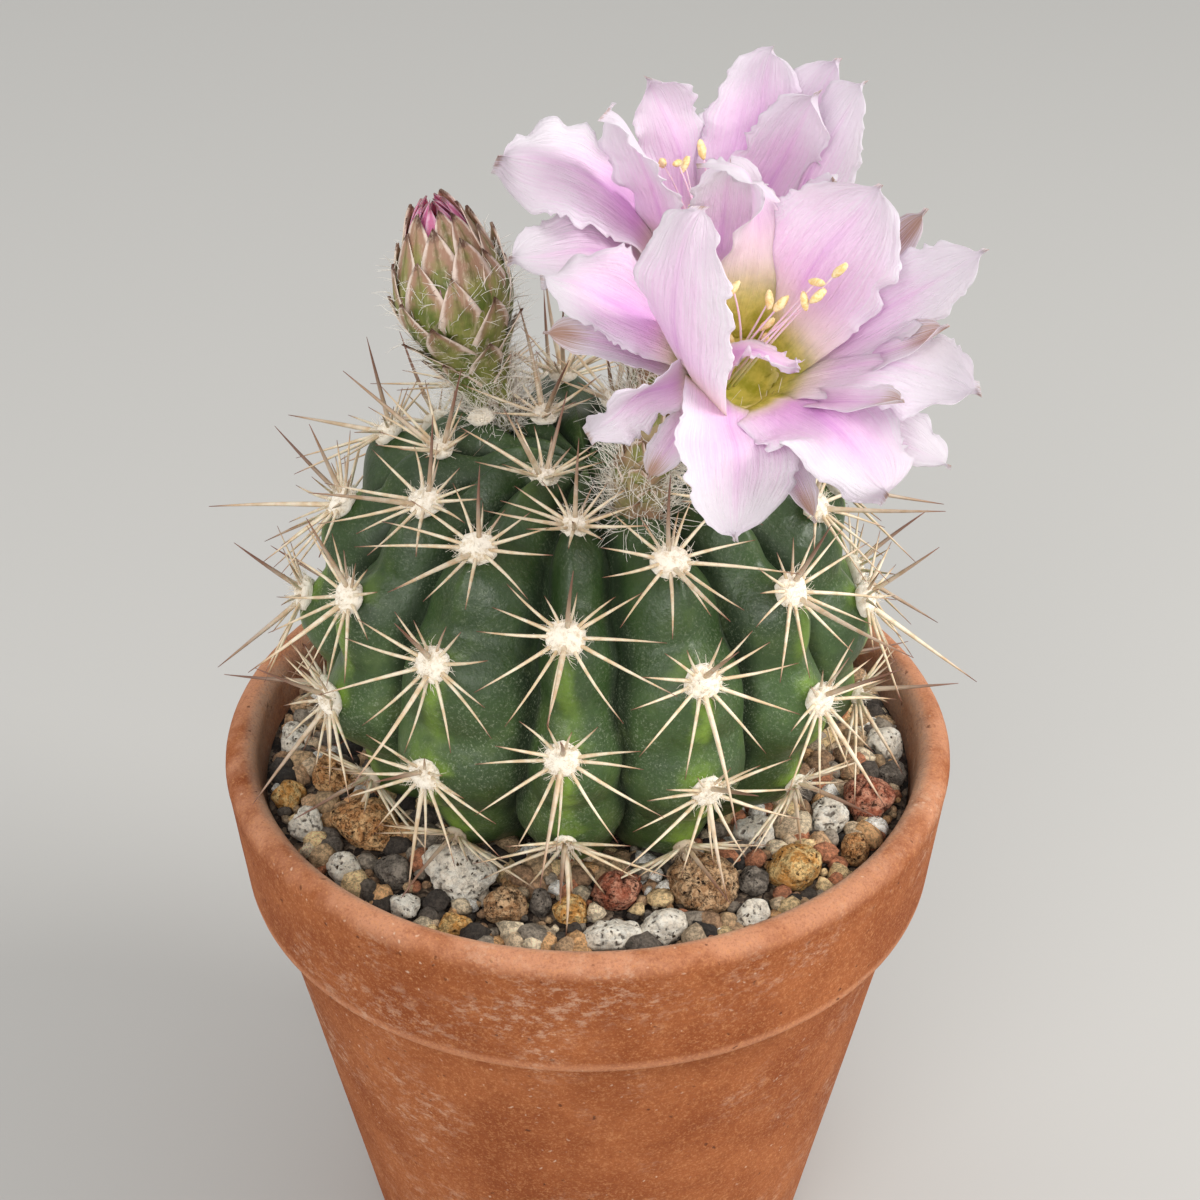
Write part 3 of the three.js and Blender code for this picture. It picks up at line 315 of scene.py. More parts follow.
class Finish:
    """One material: most calls add a node to it and give back that node's output.

    It keeps its colour so far, which lay covers with the next one.
    """

    def __init__(self, name, **constants):
        """Sets the shader's constants, named as its sockets are, such as roughness."""
        self.material = bpy.data.materials.new(name)
        self.material.use_nodes = True
        self.tree = self.material.node_tree
        self.shader = self.tree.nodes["Principled BSDF"]
        for socket, value in constants.items():
            self.shader.inputs[socket.replace("_", " ").title().replace("Ior", "IOR")].default_value = value
        self.place = self.node("TexCoord", out="Object")
        self.colour = None

    def node(self, kind, inputs=None, out=0, **settings):
        """Adds a node: settings are its own properties, inputs are outputs to link or constants."""
        node = self.tree.nodes.new("ShaderNode" + kind)
        for key, value in settings.items():
            setattr(node, key, value)
        for key, value in (inputs or {}).items():
            if isinstance(value, bpy.types.NodeSocket):
                self.tree.links.new(value, node.inputs[key])
            else:
                node.inputs[key].default_value = value
        return node.outputs[out]

    def value(self, name):
        """A number that the mesh carries at each point."""
        return self.node("Attribute", attribute_name=name, out="Fac")

    def height(self):
        """Height over the floor in metres."""
        return self.node("SeparateXYZ", {0: self.place}, out="Z")

    def stretched(self, scale, turn=(0, 0, 0), vector=None):
        """Places scaled and turned for a pattern."""
        inputs = {"Vector": vector or self.place, "Scale": scale, "Rotation": turn}
        return self.node("Mapping", inputs)

    def noise(self, scale, detail=3.0, roughness=0.55, vector=None):
        """Smooth noise from 0 to 1."""
        inputs = {"Vector": vector or self.place, "Scale": scale, "Detail": detail, "Roughness": roughness}
        return self.node("TexNoise", inputs)

    def bent(self, scale, amount):
        """Places moved about by noise, so that cells there have no regular outline."""
        settings = {"Vector": self.place, "Scale": scale, "Detail": 2.0}
        wander = self.node("TexNoise", settings, out="Color")
        return self.node("VectorMath", {0: wander, 1: (amount,) * 3, 2: self.place}, operation="MULTIPLY_ADD")

    def cells(self, scale, vector, out="Distance"):
        """Distance to the nearest cell's middle, or another output."""
        return self.node("TexVoronoi", {"Vector": vector, "Scale": scale}, out=out)

    def ramp(self, value, low, high, to_low=0.0, to_high=1.0):
        """An eased ramp: the value's way from low to high, as one from to_low to to_high."""
        inputs = {"Value": value, "From Min": low, "From Max": high, "To Min": to_low, "To Max": to_high}
        return self.node("MapRange", inputs, interpolation_type="SMOOTHSTEP")

    def product(self, a, b):
        """One value times another."""
        return self.node("Math", {0: a, 1: b}, operation="MULTIPLY")

    def sum_of(self, total, *others):
        """The sum of values; one with a weight is given as a pair."""
        for other in others:
            value, weight = other if isinstance(other, tuple) else (other, 1.0)
            total = self.node("Math", {0: value, 1: weight, 2: total}, operation="MULTIPLY_ADD")
        return total

    def distance_from(self, middle, value):
        """How far a value lies from a middle, to either side."""
        off = self.node("Math", {0: value, 1: middle}, operation="SUBTRACT")
        return self.node("Math", {0: off}, operation="ABSOLUTE")

    def marks(self, scale, bend, size, scatter, where):
        """Small marks in the middles of bent cells, kept where a broad noise is high."""
        spots = self.ramp(self.cells(scale, self.bent(*bend)), *size)
        return self.product(spots, self.ramp(scatter, *where))

    def mixed(self, share, a, b):
        """A mix of two colours, each a node's output, a setting or a screen colour."""
        a, b = (linear(c) if isinstance(c, str) else c for c in (a, b))
        return self.node("Mix", {0: share, 6: a, 7: b}, out=2, data_type="RGBA", blend_type="MIX")

    def lay(self, share, colour, most=None):
        """Covers the colour so far by a share, which may be times a most."""
        share = share if most is None else self.product(share, most)
        self.colour = self.mixed(share, self.colour, colour)

    def done(self, relief=None, strength=0.3, distance=0.0005, roughness=None):
        """Links the colour, and the bump's height and the roughness where there are any."""
        self.tree.links.new(self.colour, self.shader.inputs["Base Color"])
        if roughness is not None:
            self.tree.links.new(roughness, self.shader.inputs["Roughness"])
        if relief is not None:
            bump = self.node("Bump", {"Height": relief, "Strength": strength, "Distance": distance})
            self.tree.links.new(bump, self.shader.inputs["Normal"])
        return self.material


# The pot

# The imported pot's outer radius and height
POT_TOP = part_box("pot")[1]
POT_SIZE = np.array([POT_TOP[0], POT_TOP[2]]) / MM
# Its outline at that size, as radius and height: up the outside, then inside down to the drain hole
POT_OUTSIDE = [
    [8.5, 0], [20, 0], [43.2, 0], [44.1, 0.35], [44.4, 1.1], [46.6, 12], [50.5, 31.5], [54.6, 52],
    [58.6, 72], [62.2, 90], [63.3, 95.4], [63.6, 96.6], [64.1, 97.1], [65.6, 97.3], [66.7, 97.35],
    [67.2, 97.7], [67.4, 98.4], [67.75, 101.6], [68.4, 107.5], [69.1, 113.9], [69.5, 117.6],
    [69.72, 119.6], [69.82, 120.5],
]
POT_INSIDE = [
    [63.7, 120.3], [63, 115], [58.2, 92], [52.5, 66], [46.6, 39], [42, 18], [40.2, 10.5], [38.8, 8.2],
    [36.5, 7.1], [22, 7], [9.2, 7], [8.6, 6.5], [8.5, 3.5],
]
LIP_HALF, LIP_RISE = 3.1, 3.2
POT_SIDES, LONGEST_SIDE = 144, 3.6


def pot_profile(pot):
    """The outline with its half-round lip, stretched to the rim that is set."""
    a = np.linspace(0, np.pi, 17)
    over = POT_SIZE + np.stack([LIP_HALF * (np.cos(a) - 1), LIP_RISE * (np.sin(a) - 1)], -1)
    outline = np.concatenate([POT_OUTSIDE, over, POT_INSIDE])
    return outline * np.array([pot.rim_radius, pot.rim_height]) / MM / POT_SIZE


def refined(profile, step):
    """Adds points to a closed outline so that none of its sides is longer than a step."""
    ahead = np.roll(profile, -1, axis=0)
    lengths = np.linalg.norm(ahead - profile, axis=1)
    reach = np.concatenate([[0], np.cumsum(lengths)])
    places = [np.linspace(a, b, int(np.ceil((b - a) / step)) + 1)[:-1] for a, b in zip(reach, reach[1:])]
    places = np.concatenate(places)
    closed = np.concatenate([profile, profile[:1]])
    return np.stack([np.interp(places, reach, closed[:, k]) for k in (0, 1)], -1)


def pot_points(pot):
    """The profile turned about Z, drawn in by up to a third of a millimetre where clay was worn."""
    profile = refined(pot_profile(pot), LONGEST_SIDE)
    way = outward(np.linspace(0, 360, POT_SIDES, endpoint=False))[None]
    points = profile[:, None, :1] * way + np.array([0, 0, 1.0]) * profile[:, None, 1:]
    worn = 0.1 * (1 + grain(points, 24, 3)) + 0.04 * (1 + grain(points, 5, 8, 2))
    is_wall = smooth((profile[:, 1] - 0.8) / 3)[:, None] * (profile[:, 0] > 20)[:, None]
    points[..., :2] -= way[..., :2] * (worn * is_wall)[..., None]
    return points


def clay_finish(pot):
    """Mottled clay: a lip worn pale, a pale line at the collar's foot that is partly lime and partly a
    painted highlight, a dusty inside, speckles, flecks, pits and scratchy lime.
    """
    f = Finish("fired_clay", roughness=0.86, diffuse_roughness=0.6, specular_ior_level=0.25)
    f.colour = f.mixed(f.ramp(f.noise(45, 6, 0.7), 0.32, 0.72, 0, 0.7), pot.clay_colour, "b86f41")
    f.lay(f.ramp(f.noise(26, 5, 0.65), 0.5, 0.75, 0, 0.35), "8f4620")
    height = f.height()
    rim_wear = f.product(f.ramp(height, 0.1208, 0.1242), f.ramp(f.noise(70, 4), 0.3, 0.6))
    f.lay(rim_wear, "dfa582", 0.65)
    level = f.node("VectorMath", {0: f.place, 1: (1, 1, 0)}, operation="MULTIPLY")
    radius = f.node("VectorMath", {0: level}, out="Value", operation="LENGTH")
    inside = f.product(f.ramp(radius, 0.0668, 0.0645), f.ramp(height, 0.108, 0.112))
    f.lay(f.product(inside, f.ramp(f.noise(55, 5, 0.7), 0.3, 0.6, 0.3, 0.9)), "b59a86", 0.75)
    # Pale line at the collar's foot: partly lime, partly a painted highlight along the step's edge.
    collar_lime_and_highlight = f.product(f.ramp(height, 0.0965, 0.0979), f.ramp(height, 0.1004, 0.0986))
    f.lay(collar_lime_and_highlight, "e0a27c", 0.42)
    speckle, sand = f.noise(800, 3, 0.8), f.noise(1900, 2, 0.7)
    for grains, low, high, most, colour in (
        (speckle, 0.53, 0.68, 0.4, "cf9160"), (speckle, 0.46, 0.32, 0.28, "83401f"),
        (sand, 0.54, 0.66, 0.34, "da9b69"), (sand, 0.46, 0.34, 0.24, "7a3c20"),
    ):
        f.lay(f.ramp(grains, low, high, 0, most), colour)
    f.lay(f.marks(430, (500, 0.002), (0.16, 0.06), f.noise(60, 2), (0.45, 0.65)), "e8cdb4", 0.6)
    pits = f.marks(260, (600, 0.002), (0.13, 0.06), f.noise(90, 2), (0.4, 0.6))
    f.lay(pits, "5c2d18", 0.75)
    scratchy = f.ramp(f.noise(1, 5, 0.8, f.stretched((320, 320, 560), (0.5, 0.35, 0))), 0.48, 0.64)
    f.lay(f.product(scratchy, f.ramp(f.noise(36, 3, 0.6), 0.49, 0.68)), "dfbb9f", 0.5)
    turned = f.noise(1, 3, 0.6, f.stretched((12, 12, 330)))
    return f.done(f.sum_of(f.noise(650, 5, 0.75), (pits, -0.9), (turned, 0.5)), 0.7, 0.0009)


# The mix, its grit and the stones

EDGE_HEIGHT, MOUND_HEIGHT, MOUND_RADIUS = 116.7, 118.5, 44.0
MIX_ROWS, MIX_SIDES = 48, 168
MIX_UNDERSIDE = [[61.4, 114.6], [59, 104], [39, 9.5], [36, 7.6], [20, 7.5], [4, 7.5]]


def wall_radius(height):
    """Radius of the pot's inner wall at a height."""
    return 39.4 + (63.8 - 39.4) * (height - 7) / (121.8 - 7)


def mix_height(radius):
    """A low mound that falls away towards the wall."""
    edge = wall_radius(EDGE_HEIGHT)
    return EDGE_HEIGHT + (MOUND_HEIGHT - EDGE_HEIGHT) * smooth((edge - radius) / (edge - MOUND_RADIUS))


def mix_points(rows, sides):
    """Rings over the top from the middle to the wall, then down inside the pot to its floor."""
    radius = np.linspace(1.5, wall_radius(EDGE_HEIGHT) - 0.4, rows)
    way = outward(np.linspace(0, 360, sides, endpoint=False))
    points = radius[:, None, None] * way
    points[..., 2] = mix_height(radius)[:, None]
    points[..., 2] += 0.75 * grain(points, 3.6, 5, 3) + 0.5 * grain(points, 11, 6, 2) - 0.5
    points = np.concatenate([points, [r * way + np.array([0, 0, z]) for r, z in MIX_UNDERSIDE]])
    ends = [[0, 0, MOUND_HEIGHT], [0, 0, MIX_UNDERSIDE[-1][1]]]
    return np.concatenate([points.reshape(-1, 3), ends]), len(points)


# Each stone in view: azimuth, radius, width, depth, height, turn and kind
STONES = [
    [-30, 45.6, 14, 12, 10, 20, "white"], [-57.6, 48.2, 15, 12, 10.5, 10, "tan"],
    [-65.8, 57.4, 8, 7, 6.5, 0, "white"], [-51.5, 57.2, 7.2, 6.4, 5.8, 30, "white"],
    [-35.5, 56.6, 6.4, 5.4, 4.6, 0, "white"], [4.6, 55.2, 11, 7.4, 6.4, -8, "white"],
    [14.6, 54.2, 8.6, 7.2, 6.6, 10, "white"], [31.4, 56.6, 6.8, 5.6, 5, 0, "white"],
    [48.7, 41.6, 8.6, 7.6, 7, 15, "white"], [63.6, 50.6, 8.2, 7.4, 6.8, -20, "white"],
    [91.8, 58, 7.8, 7, 6.4, 0, "white"], [-93.7, 57.4, 8.4, 7, 6, 15, "white"],
    [-42.6, 51.6, 8.2, 6.4, 6, 0, "dark"], [-10, 47.4, 4.2, 5, 5, 0, "dark"],
    [36.8, 50.6, 6, 6, 5.6, 10, "dark"], [82.6, 58.6, 6.6, 6, 5.6, 0, "dark"],
    [-24.6, 56.8, 6.6, 5.6, 5, 0, "yellow"], [-17, 50.4, 8.4, 7.2, 6.8, 15, "brown"],
    [-3.4, 49, 6.8, 6.4, 6, 0, "yellow"], [-76.2, 58.6, 7, 6.4, 5.6, 0, "yellow"],
    [46, 53, 11, 9.6, 9, 25, "yellow"], [6.8, 44.4, 9.8, 8.6, 8, 0, "red"],
    [72.6, 55.6, 10.4, 9.6, 9.6, -10, "red"], [26.2, 47.6, 13.2, 11.6, 10.4, 5, "brown"],
    [-78.4, 49.6, 10.6, 9, 8.4, 0, "tan"], [58.4, 58.2, 6.2, 6, 6, 0, "tan"],
]
HIDDEN_STONES = {"count": 6, "first": 110, "step": 24, "radius": 54, "spread": 4, "size": 9.5}
# Each kind of stone: how porous and how cracked it is, and its colours, the last one painted shade in its
# hollows
STONE_KINDS = {
    "white": {"pores": 1.0, "cracks": 0.25, "colours": ("fbf0de", "fffaee", "54422e")},
    "tan": {"pores": 1.0, "cracks": 0.75, "colours": ("c48a56", "f0c690", "3c2415")},
    "yellow": {"pores": 0.7, "cracks": 0.5, "colours": ("de9f54", "fbdc9c", "5a3a1c")},
    "brown": {"pores": 0.8, "cracks": 0.8, "colours": ("ac8058", "e6c298", "2c1d12")},
    "red": {"pores": 1.0, "cracks": 0.7, "colours": ("b0644a", "dfa487", "30170f")},
    "dark": {"pores": 0.3, "cracks": 0.5, "colours": ("6a6158", "a3988b", "171413")},
}
# Stones wider than this have the finer of the two meshes
LARGE_STONE, LARGE_MESH, SMALL_MESH = 8.3, (44, 60), (34, 46)


def stone_list():
    """The stones in view, then those laid by rule behind the plant."""
    kinds = ["tan", "white", "brown", "dark"]
    rows = []
    for i in range(HIDDEN_STONES["count"]):
        size = HIDDEN_STONES["size"] * (0.8 + 0.4 * draw(i, 3))
        radius = HIDDEN_STONES["radius"] + HIDDEN_STONES["spread"] * (draw(i, 7) - 0.5)
        azimuth = HIDDEN_STONES["first"] + HIDDEN_STONES["step"] * i
        rows.append([azimuth, radius, size, size * 0.85, size * 0.75, 40 * i, kinds[i % len(kinds)]])
    return STONES + rows


def angular(directions, index, flats, depth):
    """How far a rounded many-sided form reaches: (the sum over its flats of (d . normal / its
    distance) to the power 12) to the power -1/12, for unit directions d, one row for each index."""
    k, index = np.arange(flats)[None], np.atleast_1d(index)[:, None]
    height = spread(index, k + 300)
    turn = 2.399963 * k + 6.28 * draw(index, 301)
    flat = np.sqrt(1 - height**2)
    normals = np.stack([flat * np.cos(turn), flat * np.sin(turn), height], -1)
    distance = 1 - depth * draw(index, k + 320)
    facing = np.maximum(np.einsum("dk,nfk->ndf", directions, normals) / distance[:, None], 0)
    return (facing**12).sum(axis=-1) ** (-1 / 12)


def stone_points(index, stone, rows, sides):
    """An ellipsoid x (a rounded many-sided form + broad lumps + fine grain - pores).

    Pores are the places where a fine noise passes its own threshold.
    """
    azimuth, radius, width, depth, height, turn, kind = stone
    porous = STONE_KINDS[kind]["pores"]
    d = ball_directions(rows, sides)
    at = d * np.array([width, depth, height]) / 2
    form = np.minimum(angular(d, index, 16, 0.2)[0], 1.12)
    rough = 0.1 * grain(at + 9 * index, 3.6, 1, 2) + 0.08 * grain(at + 5 * index, 1.3, 2, 2)
    rough = rough - 0.13 * np.maximum(0, 0.3 - np.abs(grain(at + 7 * index, 2.4, 6, 2))) * porous
    pores = smooth((grain(at + 3 * index, 0.9, 4, 2) - 0.24) / 0.22) * porous
    size = (form + rough)[:, None] - (pores * 0.8 / (width / 2))[:, None]
    points = turned_about_z(at * size * 0.99, azimuth + turn)
    lift = mix_height(radius) + 0.24 * height
    return points + outward(azimuth) * radius + np.array([0, 0, lift]), pores


def stone_finish(kind):
    """Mottled stone with painted shade darkening its small holes, its cracks where a noise crosses its
    middle, some crumbs and its pores; other crumbs are pale.
    """
    base, light, hollow_shade = STONE_KINDS[kind]["colours"]
    cracked = STONE_KINDS[kind]["cracks"]
    f = Finish(kind + "_stone", roughness=0.92, diffuse_roughness=0.5, specular_ior_level=0.25)
    f.colour = f.mixed(f.ramp(f.noise(420, 5, 0.75), 0.42, 0.6), base, light)
    f.lay(f.ramp(f.noise(110, 3, 0.6), 0.45, 0.7, 0, 0.45), base)
    # Painted shade: holes, cracks, dark crumbs and pores take the dark hollow colour.
    holes = f.marks(860, (900, 0.0014), (0.29, 0.17), f.noise(240, 2), (0.42, 0.56))
    f.lay(holes, hollow_shade)
    cracks = f.ramp(f.distance_from(0.5, f.noise(380, 5, 0.75)), 0.026, 0.004, 0, cracked)
    f.lay(cracks, hollow_shade)
    crumbs = f.noise(1300, 3, 0.8)
    f.lay(f.ramp(crumbs, 0.55, 0.7, 0, cracked), hollow_shade)
    f.lay(f.ramp(crumbs, 0.46, 0.34, 0, 0.5), light)
    # Painted shade in the carved pores.
    f.lay(f.ramp(f.value("pore"), 0.3, 0.9, 0, 0.75), hollow_shade)
    return f.done(f.sum_of(f.noise(900, 5, 0.8), (holes, -1.4), (cracks, -0.6)), 1.0, 0.0012)


GRIT_COLOURS = [
    "6e645a", "a39686", "cba680", "e2b07c", "f0d09c", "ae8a6a", "bc7c5a", "fffaf0", "4a423b", "d8bf9f",
    "37322e", "c6a680", "e8d4b4",
]
GRIT_ROWS, GRIT_SIDES = 4, 8


def grit_points(count):
    """Small stones by seeded rule, nearly half of them coarser.

    They lie evenly over the ring between plant and wall, each a lumpy ball, and are left out where they
    would lie in a larger stone.
    """
    i = np.arange(count)
    inner, outer = 33.0, wall_radius(EDGE_HEIGHT) - 1.2
    size = np.where(i < 0.42 * count, 1.7 + 1.6 * draw(i, 11), 0.8 + 0.8 * draw(i, 11) ** 1.4)
    radius = np.sqrt(inner**2 + (outer**2 - inner**2) * ((i * 0.754877666) % 1))
    radius = np.minimum(radius, outer - size)
    place = outward((i * 0.569840291 % 1) * 360) * radius[:, None]
    stones = stone_list()
    centres = np.array([outward(s[0])[:2] * s[1] for s in stones])
    halves = np.array([(s[2] + s[3]) / 4 for s in stones])
    gap = np.linalg.norm(place[:, None, :2] - centres[None], axis=-1) - 0.86 * halves
    kept = (gap > 0.6 * size[:, None]).all(axis=1)
    i, size, radius, place = i[kept], size[kept], radius[kept], place[kept]
    d = ball_directions(GRIT_ROWS, GRIT_SIDES)
    lump = np.minimum(angular(d, i, 11, 0.3), 1.15)
    lump = lump * (1 + 0.16 * grain(d[None] + i[:, None, None] * 3.7, 0.6, 2, 2))
    shape = size[:, None] * np.stack([1 + 0 * i, 0.75 + 0.3 * draw(i, 12), 0.65 + 0.3 * draw(i, 13)], -1)
    points = turned_about_z(d[None] * lump[..., None] * shape[:, None], (360 * draw(i, 14))[:, None])
    place[:, 2] = mix_height(radius) + 0.45 * size + 0.5 * spread(i, 15)
    palette = np.array([linear(c, alpha=False) for c in GRIT_COLOURS])
    colour = palette[(draw(i, 16) * len(palette)).astype(int)] * (0.8 + 0.4 * draw(i, 17))[:, None]
    return points + place[:, None], np.repeat(colour, len(d), axis=0)


def grit_finish():
    """Each small stone's own colour, lighter and darker by noise."""
    f = Finish("grit", roughness=0.92)
    own = f.node("Attribute", attribute_name="own_colour", out="Color")
    grey = f.ramp(f.noise(1000, 4, 0.8), 0.38, 0.62, 0.55, 1.4)
    f.colour = f.node("VectorMath", {0: own, "Scale": grey}, operation="SCALE")
    return f.done(f.noise(1200, 4, 0.8), 1.0, 0.0012)


def mix_finish(gravel):
    """Dark crumbs, each a cell with a tone of its own; the mix is darker than the soil itself, as painted
    shade in the gaps between stones.
    """
    f = Finish("growing_mix", roughness=0.95)
    # Partly the soil's own dark colour, partly painted shade: near-black patches stand for shadow between the
    # stones.
    f.colour = f.mixed(f.ramp(f.noise(330, 5, 0.7), 0.35, 0.7), gravel.mix_colour, "54443a")
    f.lay(f.ramp(f.noise(90, 4, 0.6), 0.5, 0.7), "191410")
    places = f.bent(500, 0.002)
    share = f.node("SeparateXYZ", {0: f.cells(640, places, "Color")}, out="X")
    f.lay(f.ramp(share, 0.35, 0.9, 0, 0.9), "8d7a66")
    f.lay(f.ramp(share, 0.3, 0.0, 0, 0.8), "14100d")
    return f.done(f.sum_of(f.noise(900, 4, 0.7), (f.cells(640, places), -1.6)), 1.0, 0.0012)


# The plant's body

# The middle line of a rib as radius and height, from under the mix to the crown
CREST = np.array([
    [0, 113.5], [15, 113.8], [30, 116], [44.5, 130], [51.6, 144],
    [51.4, 157], [46.5, 172], [35.5, 182.8], [21, 187], [9, 186.2], [0, 183.6],
])
# The number of the crest's point at its foot, from which places along it are counted
CREST_FOOT = 2
# How many ribs there are, and the azimuth of the first one's crest
RIBS, FRONT_RIB = 13, -4.3
BODY_ROWS, RIB_STEPS = 136, 26
# How far over the crest's foot each rib's lowest areole lies
FIRST_AREOLE = np.array([27.5, 18, 26, 32, 22, 30, 17, 27, 20, 33, 28, 21.5, 19])
# From one areole to the next, the end of their row, and where the crowded crown starts
AREOLE_STEP, LAST_AREOLE, CROWN_ARC = 20.9, 104, 85
# The radius at the widest place, the grooves' depth there, and the swelling at each areole
EQUATOR, GROOVE_DEPTH, SWELL = 52.0, 8.7, 1.3
# How far from a bloom's or the bud's seat an areole still has its spines
STALK_ROOM = np.array([6.5, 6.5, 7.0])
# How far each groove above the foot lies off the middle between its ribs, in rib widths
GROOVE_SHIFT = np.array([-0.06, 0.05, -0.06, 0.04, -0.03, 0.06, -0.05, 0.03, -0.06, 0.05, -0.03, -0.05, 0.2])


def crest_line(samples=2001):
    """The crest as a smooth curve through its points: arc length, places, tangents and the foot's arc."""
    place = through(CREST, samples, repeat_ends=True)
    arc = np.concatenate([[0], np.cumsum(np.linalg.norm(np.diff(place, axis=0), axis=1))])
    foot = int(round(CREST_FOOT / (len(CREST) - 1) * (samples - 1)))
    return arc, place, unit(np.gradient(place, axis=0)), arc[foot]


CREST_ARC, CREST_PLACE, CREST_TANGENT, FOOT_ARC = crest_line()
CREST_LENGTH = CREST_ARC[-1]


def on_crest(arc):
    """Radius and height, then the upward tangent, at an arc along the crest."""
    pick = [np.interp(arc, CREST_ARC, table[:, k]) for table in (CREST_PLACE, CREST_TANGENT) for k in (0, 1)]
    return np.stack(pick[:2], -1), np.stack(pick[2:], -1)


def rib_phase(rib, arc):
    """How far along its row of areoles a place lies: whole numbers a little below each areole."""
    return (arc - FOOT_ARC - FIRST_AREOLE[rib % RIBS]) / AREOLE_STEP + 0.2


def body_points(rib, across, arc):
    """A rib's surface over (across, arc): the crest moved in along its normal.

    The way in is depth x (s x |across| to the power 1.3 + (1 - s) x (1 - the root of 1 - |across| to
    the power 2.4)), where the sharpness s grows from 0.3 to 0.6 and the depth by a fifth up the ribs.
    It is less by a swelling below each areole and a narrow keel, and more in a crease above each
    areole. The groove swings towards the rib that is thinner there.
    """
    place, tangent = on_crest(arc)
    normal = np.stack([tangent[..., 1], -tangent[..., 0]], -1)
    depth = GROOVE_DEPTH * (np.maximum(place[..., 0], 0.01) / EQUATOR) ** 0.6
    edge = np.abs(across)
    sharp = 0.3 + 0.3 * smooth((place[..., 1] - 148) / 28)
    round_part = 1 - np.sqrt(np.maximum(0, 1 - edge**2.4))
    sink = depth * (0.8 + 2 * sharp / 3) * (sharp * edge**1.3 + (1 - sharp) * round_part)
    fade = smooth((arc - FOOT_ARC) / 15) * smooth((CREST_LENGTH - arc) / 20)
    wave, before, after = (np.cos(2 * np.pi * rib_phase(rib + k, arc)) for k in (0, -1, 1))
    phase = rib_phase(rib, arc)
    crease = np.exp(-(((phase - 0.02) % 1 - 0.5) ** 2) / 0.01) * (1 - across**2)
    keel = np.exp(-((across / 0.17) ** 2)) * (0.6 + 0.4 * wave)
    out = -sink + (SWELL * wave * (1 - across**2) - 0.6 * crease + 0.45 * keel) * fade
    radius = np.maximum(0.6, place[..., 0] + normal[..., 0] * out)
    shift = smooth(across) * GROOVE_SHIFT[rib % RIBS] + smooth(-across) * GROOVE_SHIFT[(rib - 1) % RIBS]
    shift = shift * (1.4 * smooth((arc - FOOT_ARC - 8) / 42) - 0.4) * smooth((CREST_LENGTH - arc) / 35)
    swing = smooth(across) * (wave - after) + smooth(-across) * (before - wave)
    swing = 0.012 * swing * fade + shift
    points = outward(FRONT_RIB + (rib + across / 2 + swing) * 360 / RIBS) * radius[..., None]
    points[..., 2] = place[..., 1] + normal[..., 1] * out
    return points


def body_grid(rows, steps):
    """The whole body: rings up the crest, each crossing every rib in turn, and the two poles.

    Its values are how near the crest a place is, and a painted highlight at each areole: a long one below it
    that widens downwards, and a small round one above.
    """
    along = np.linspace(0.012, 0.996, rows) * CREST_LENGTH
    step = np.arange(RIBS * steps)
    rib = ((step + steps // 2) // steps) % RIBS
    across = 2 * (((step + steps // 2) % steps) - steps / 2) / steps
    arc = np.broadcast_to(along[:, None], (rows, len(step)))
    points = body_points(np.broadcast_to(rib, arc.shape), np.broadcast_to(across, arc.shape), arc)
    points += unit(points - np.array([0, 0, 150.0])) * (0.22 * grain(points, 6, 2, 2))[..., None]
    ends = [[0, 0, CREST[0, 1]], [0, 0, CREST[-1, 1]]]
    below = (FIRST_AREOLE[rib] + FOOT_ARC - arc) % AREOLE_STEP
    wide = np.abs(across) * np.pi * np.linalg.norm(points[..., :2], axis=-1) / RIBS
    painted_highlight = 1.15 * np.exp(-((below / 14) ** 2) - (wide / (1.5 + 0.12 * below)) ** 2)
    painted_highlight = painted_highlight + 0.6 * np.exp(-(((AREOLE_STEP - below) ** 2 + wide**2) / 22))
    # The painted highlight fades in the crown, which the blooms shade.
    painted_highlight = painted_highlight * (1 - 0.7 * smooth((points[..., 2] - 168) / 14))
    crest = np.broadcast_to(1 - np.abs(across), arc.shape)
    values = {"crest": np.append(crest.ravel(), [0.5, 0.5]), "painted_highlight": np.append(painted_highlight.ravel(), [0, 0])}
    return np.concatenate([points.reshape(-1, 3), ends]), values


def areole_frames():
    """Each areole's place, outward, upward and sideways directions, arc over the foot and number."""
    rows = [np.arange(first, LAST_AREOLE, AREOLE_STEP) for first in FIRST_AREOLE]
    rib = np.repeat(np.arange(RIBS), [len(row) for row in rows])
    along = np.concatenate(rows)
    arc = FOOT_ARC + along
    tangent = on_crest(arc)[1]
    side = outward(FRONT_RIB + rib * 360 / RIBS)
    up = side * tangent[:, :1] + np.array([0, 0, 1.0]) * tangent[:, 1:]
    out = side * tangent[:, 1:] - np.array([0, 0, 1.0]) * tangent[:, :1]
    return {"place": body_points(rib, np.zeros(len(rib)), arc), "out": out, "up": up,
            "across": np.cross(up, out), "along": along, "index": np.arange(len(rib))}


def clear_of_blooms(areoles):
    """True for areoles that no stalk stands on."""
    seats = np.array([stalk["seat"] for stalk in (FRONT_BLOOM, BACK_BLOOM, BUD)])
    gap = np.linalg.norm(areoles["place"][:, None] - seats[None], axis=-1)
    return (gap > STALK_ROOM).all(axis=1)


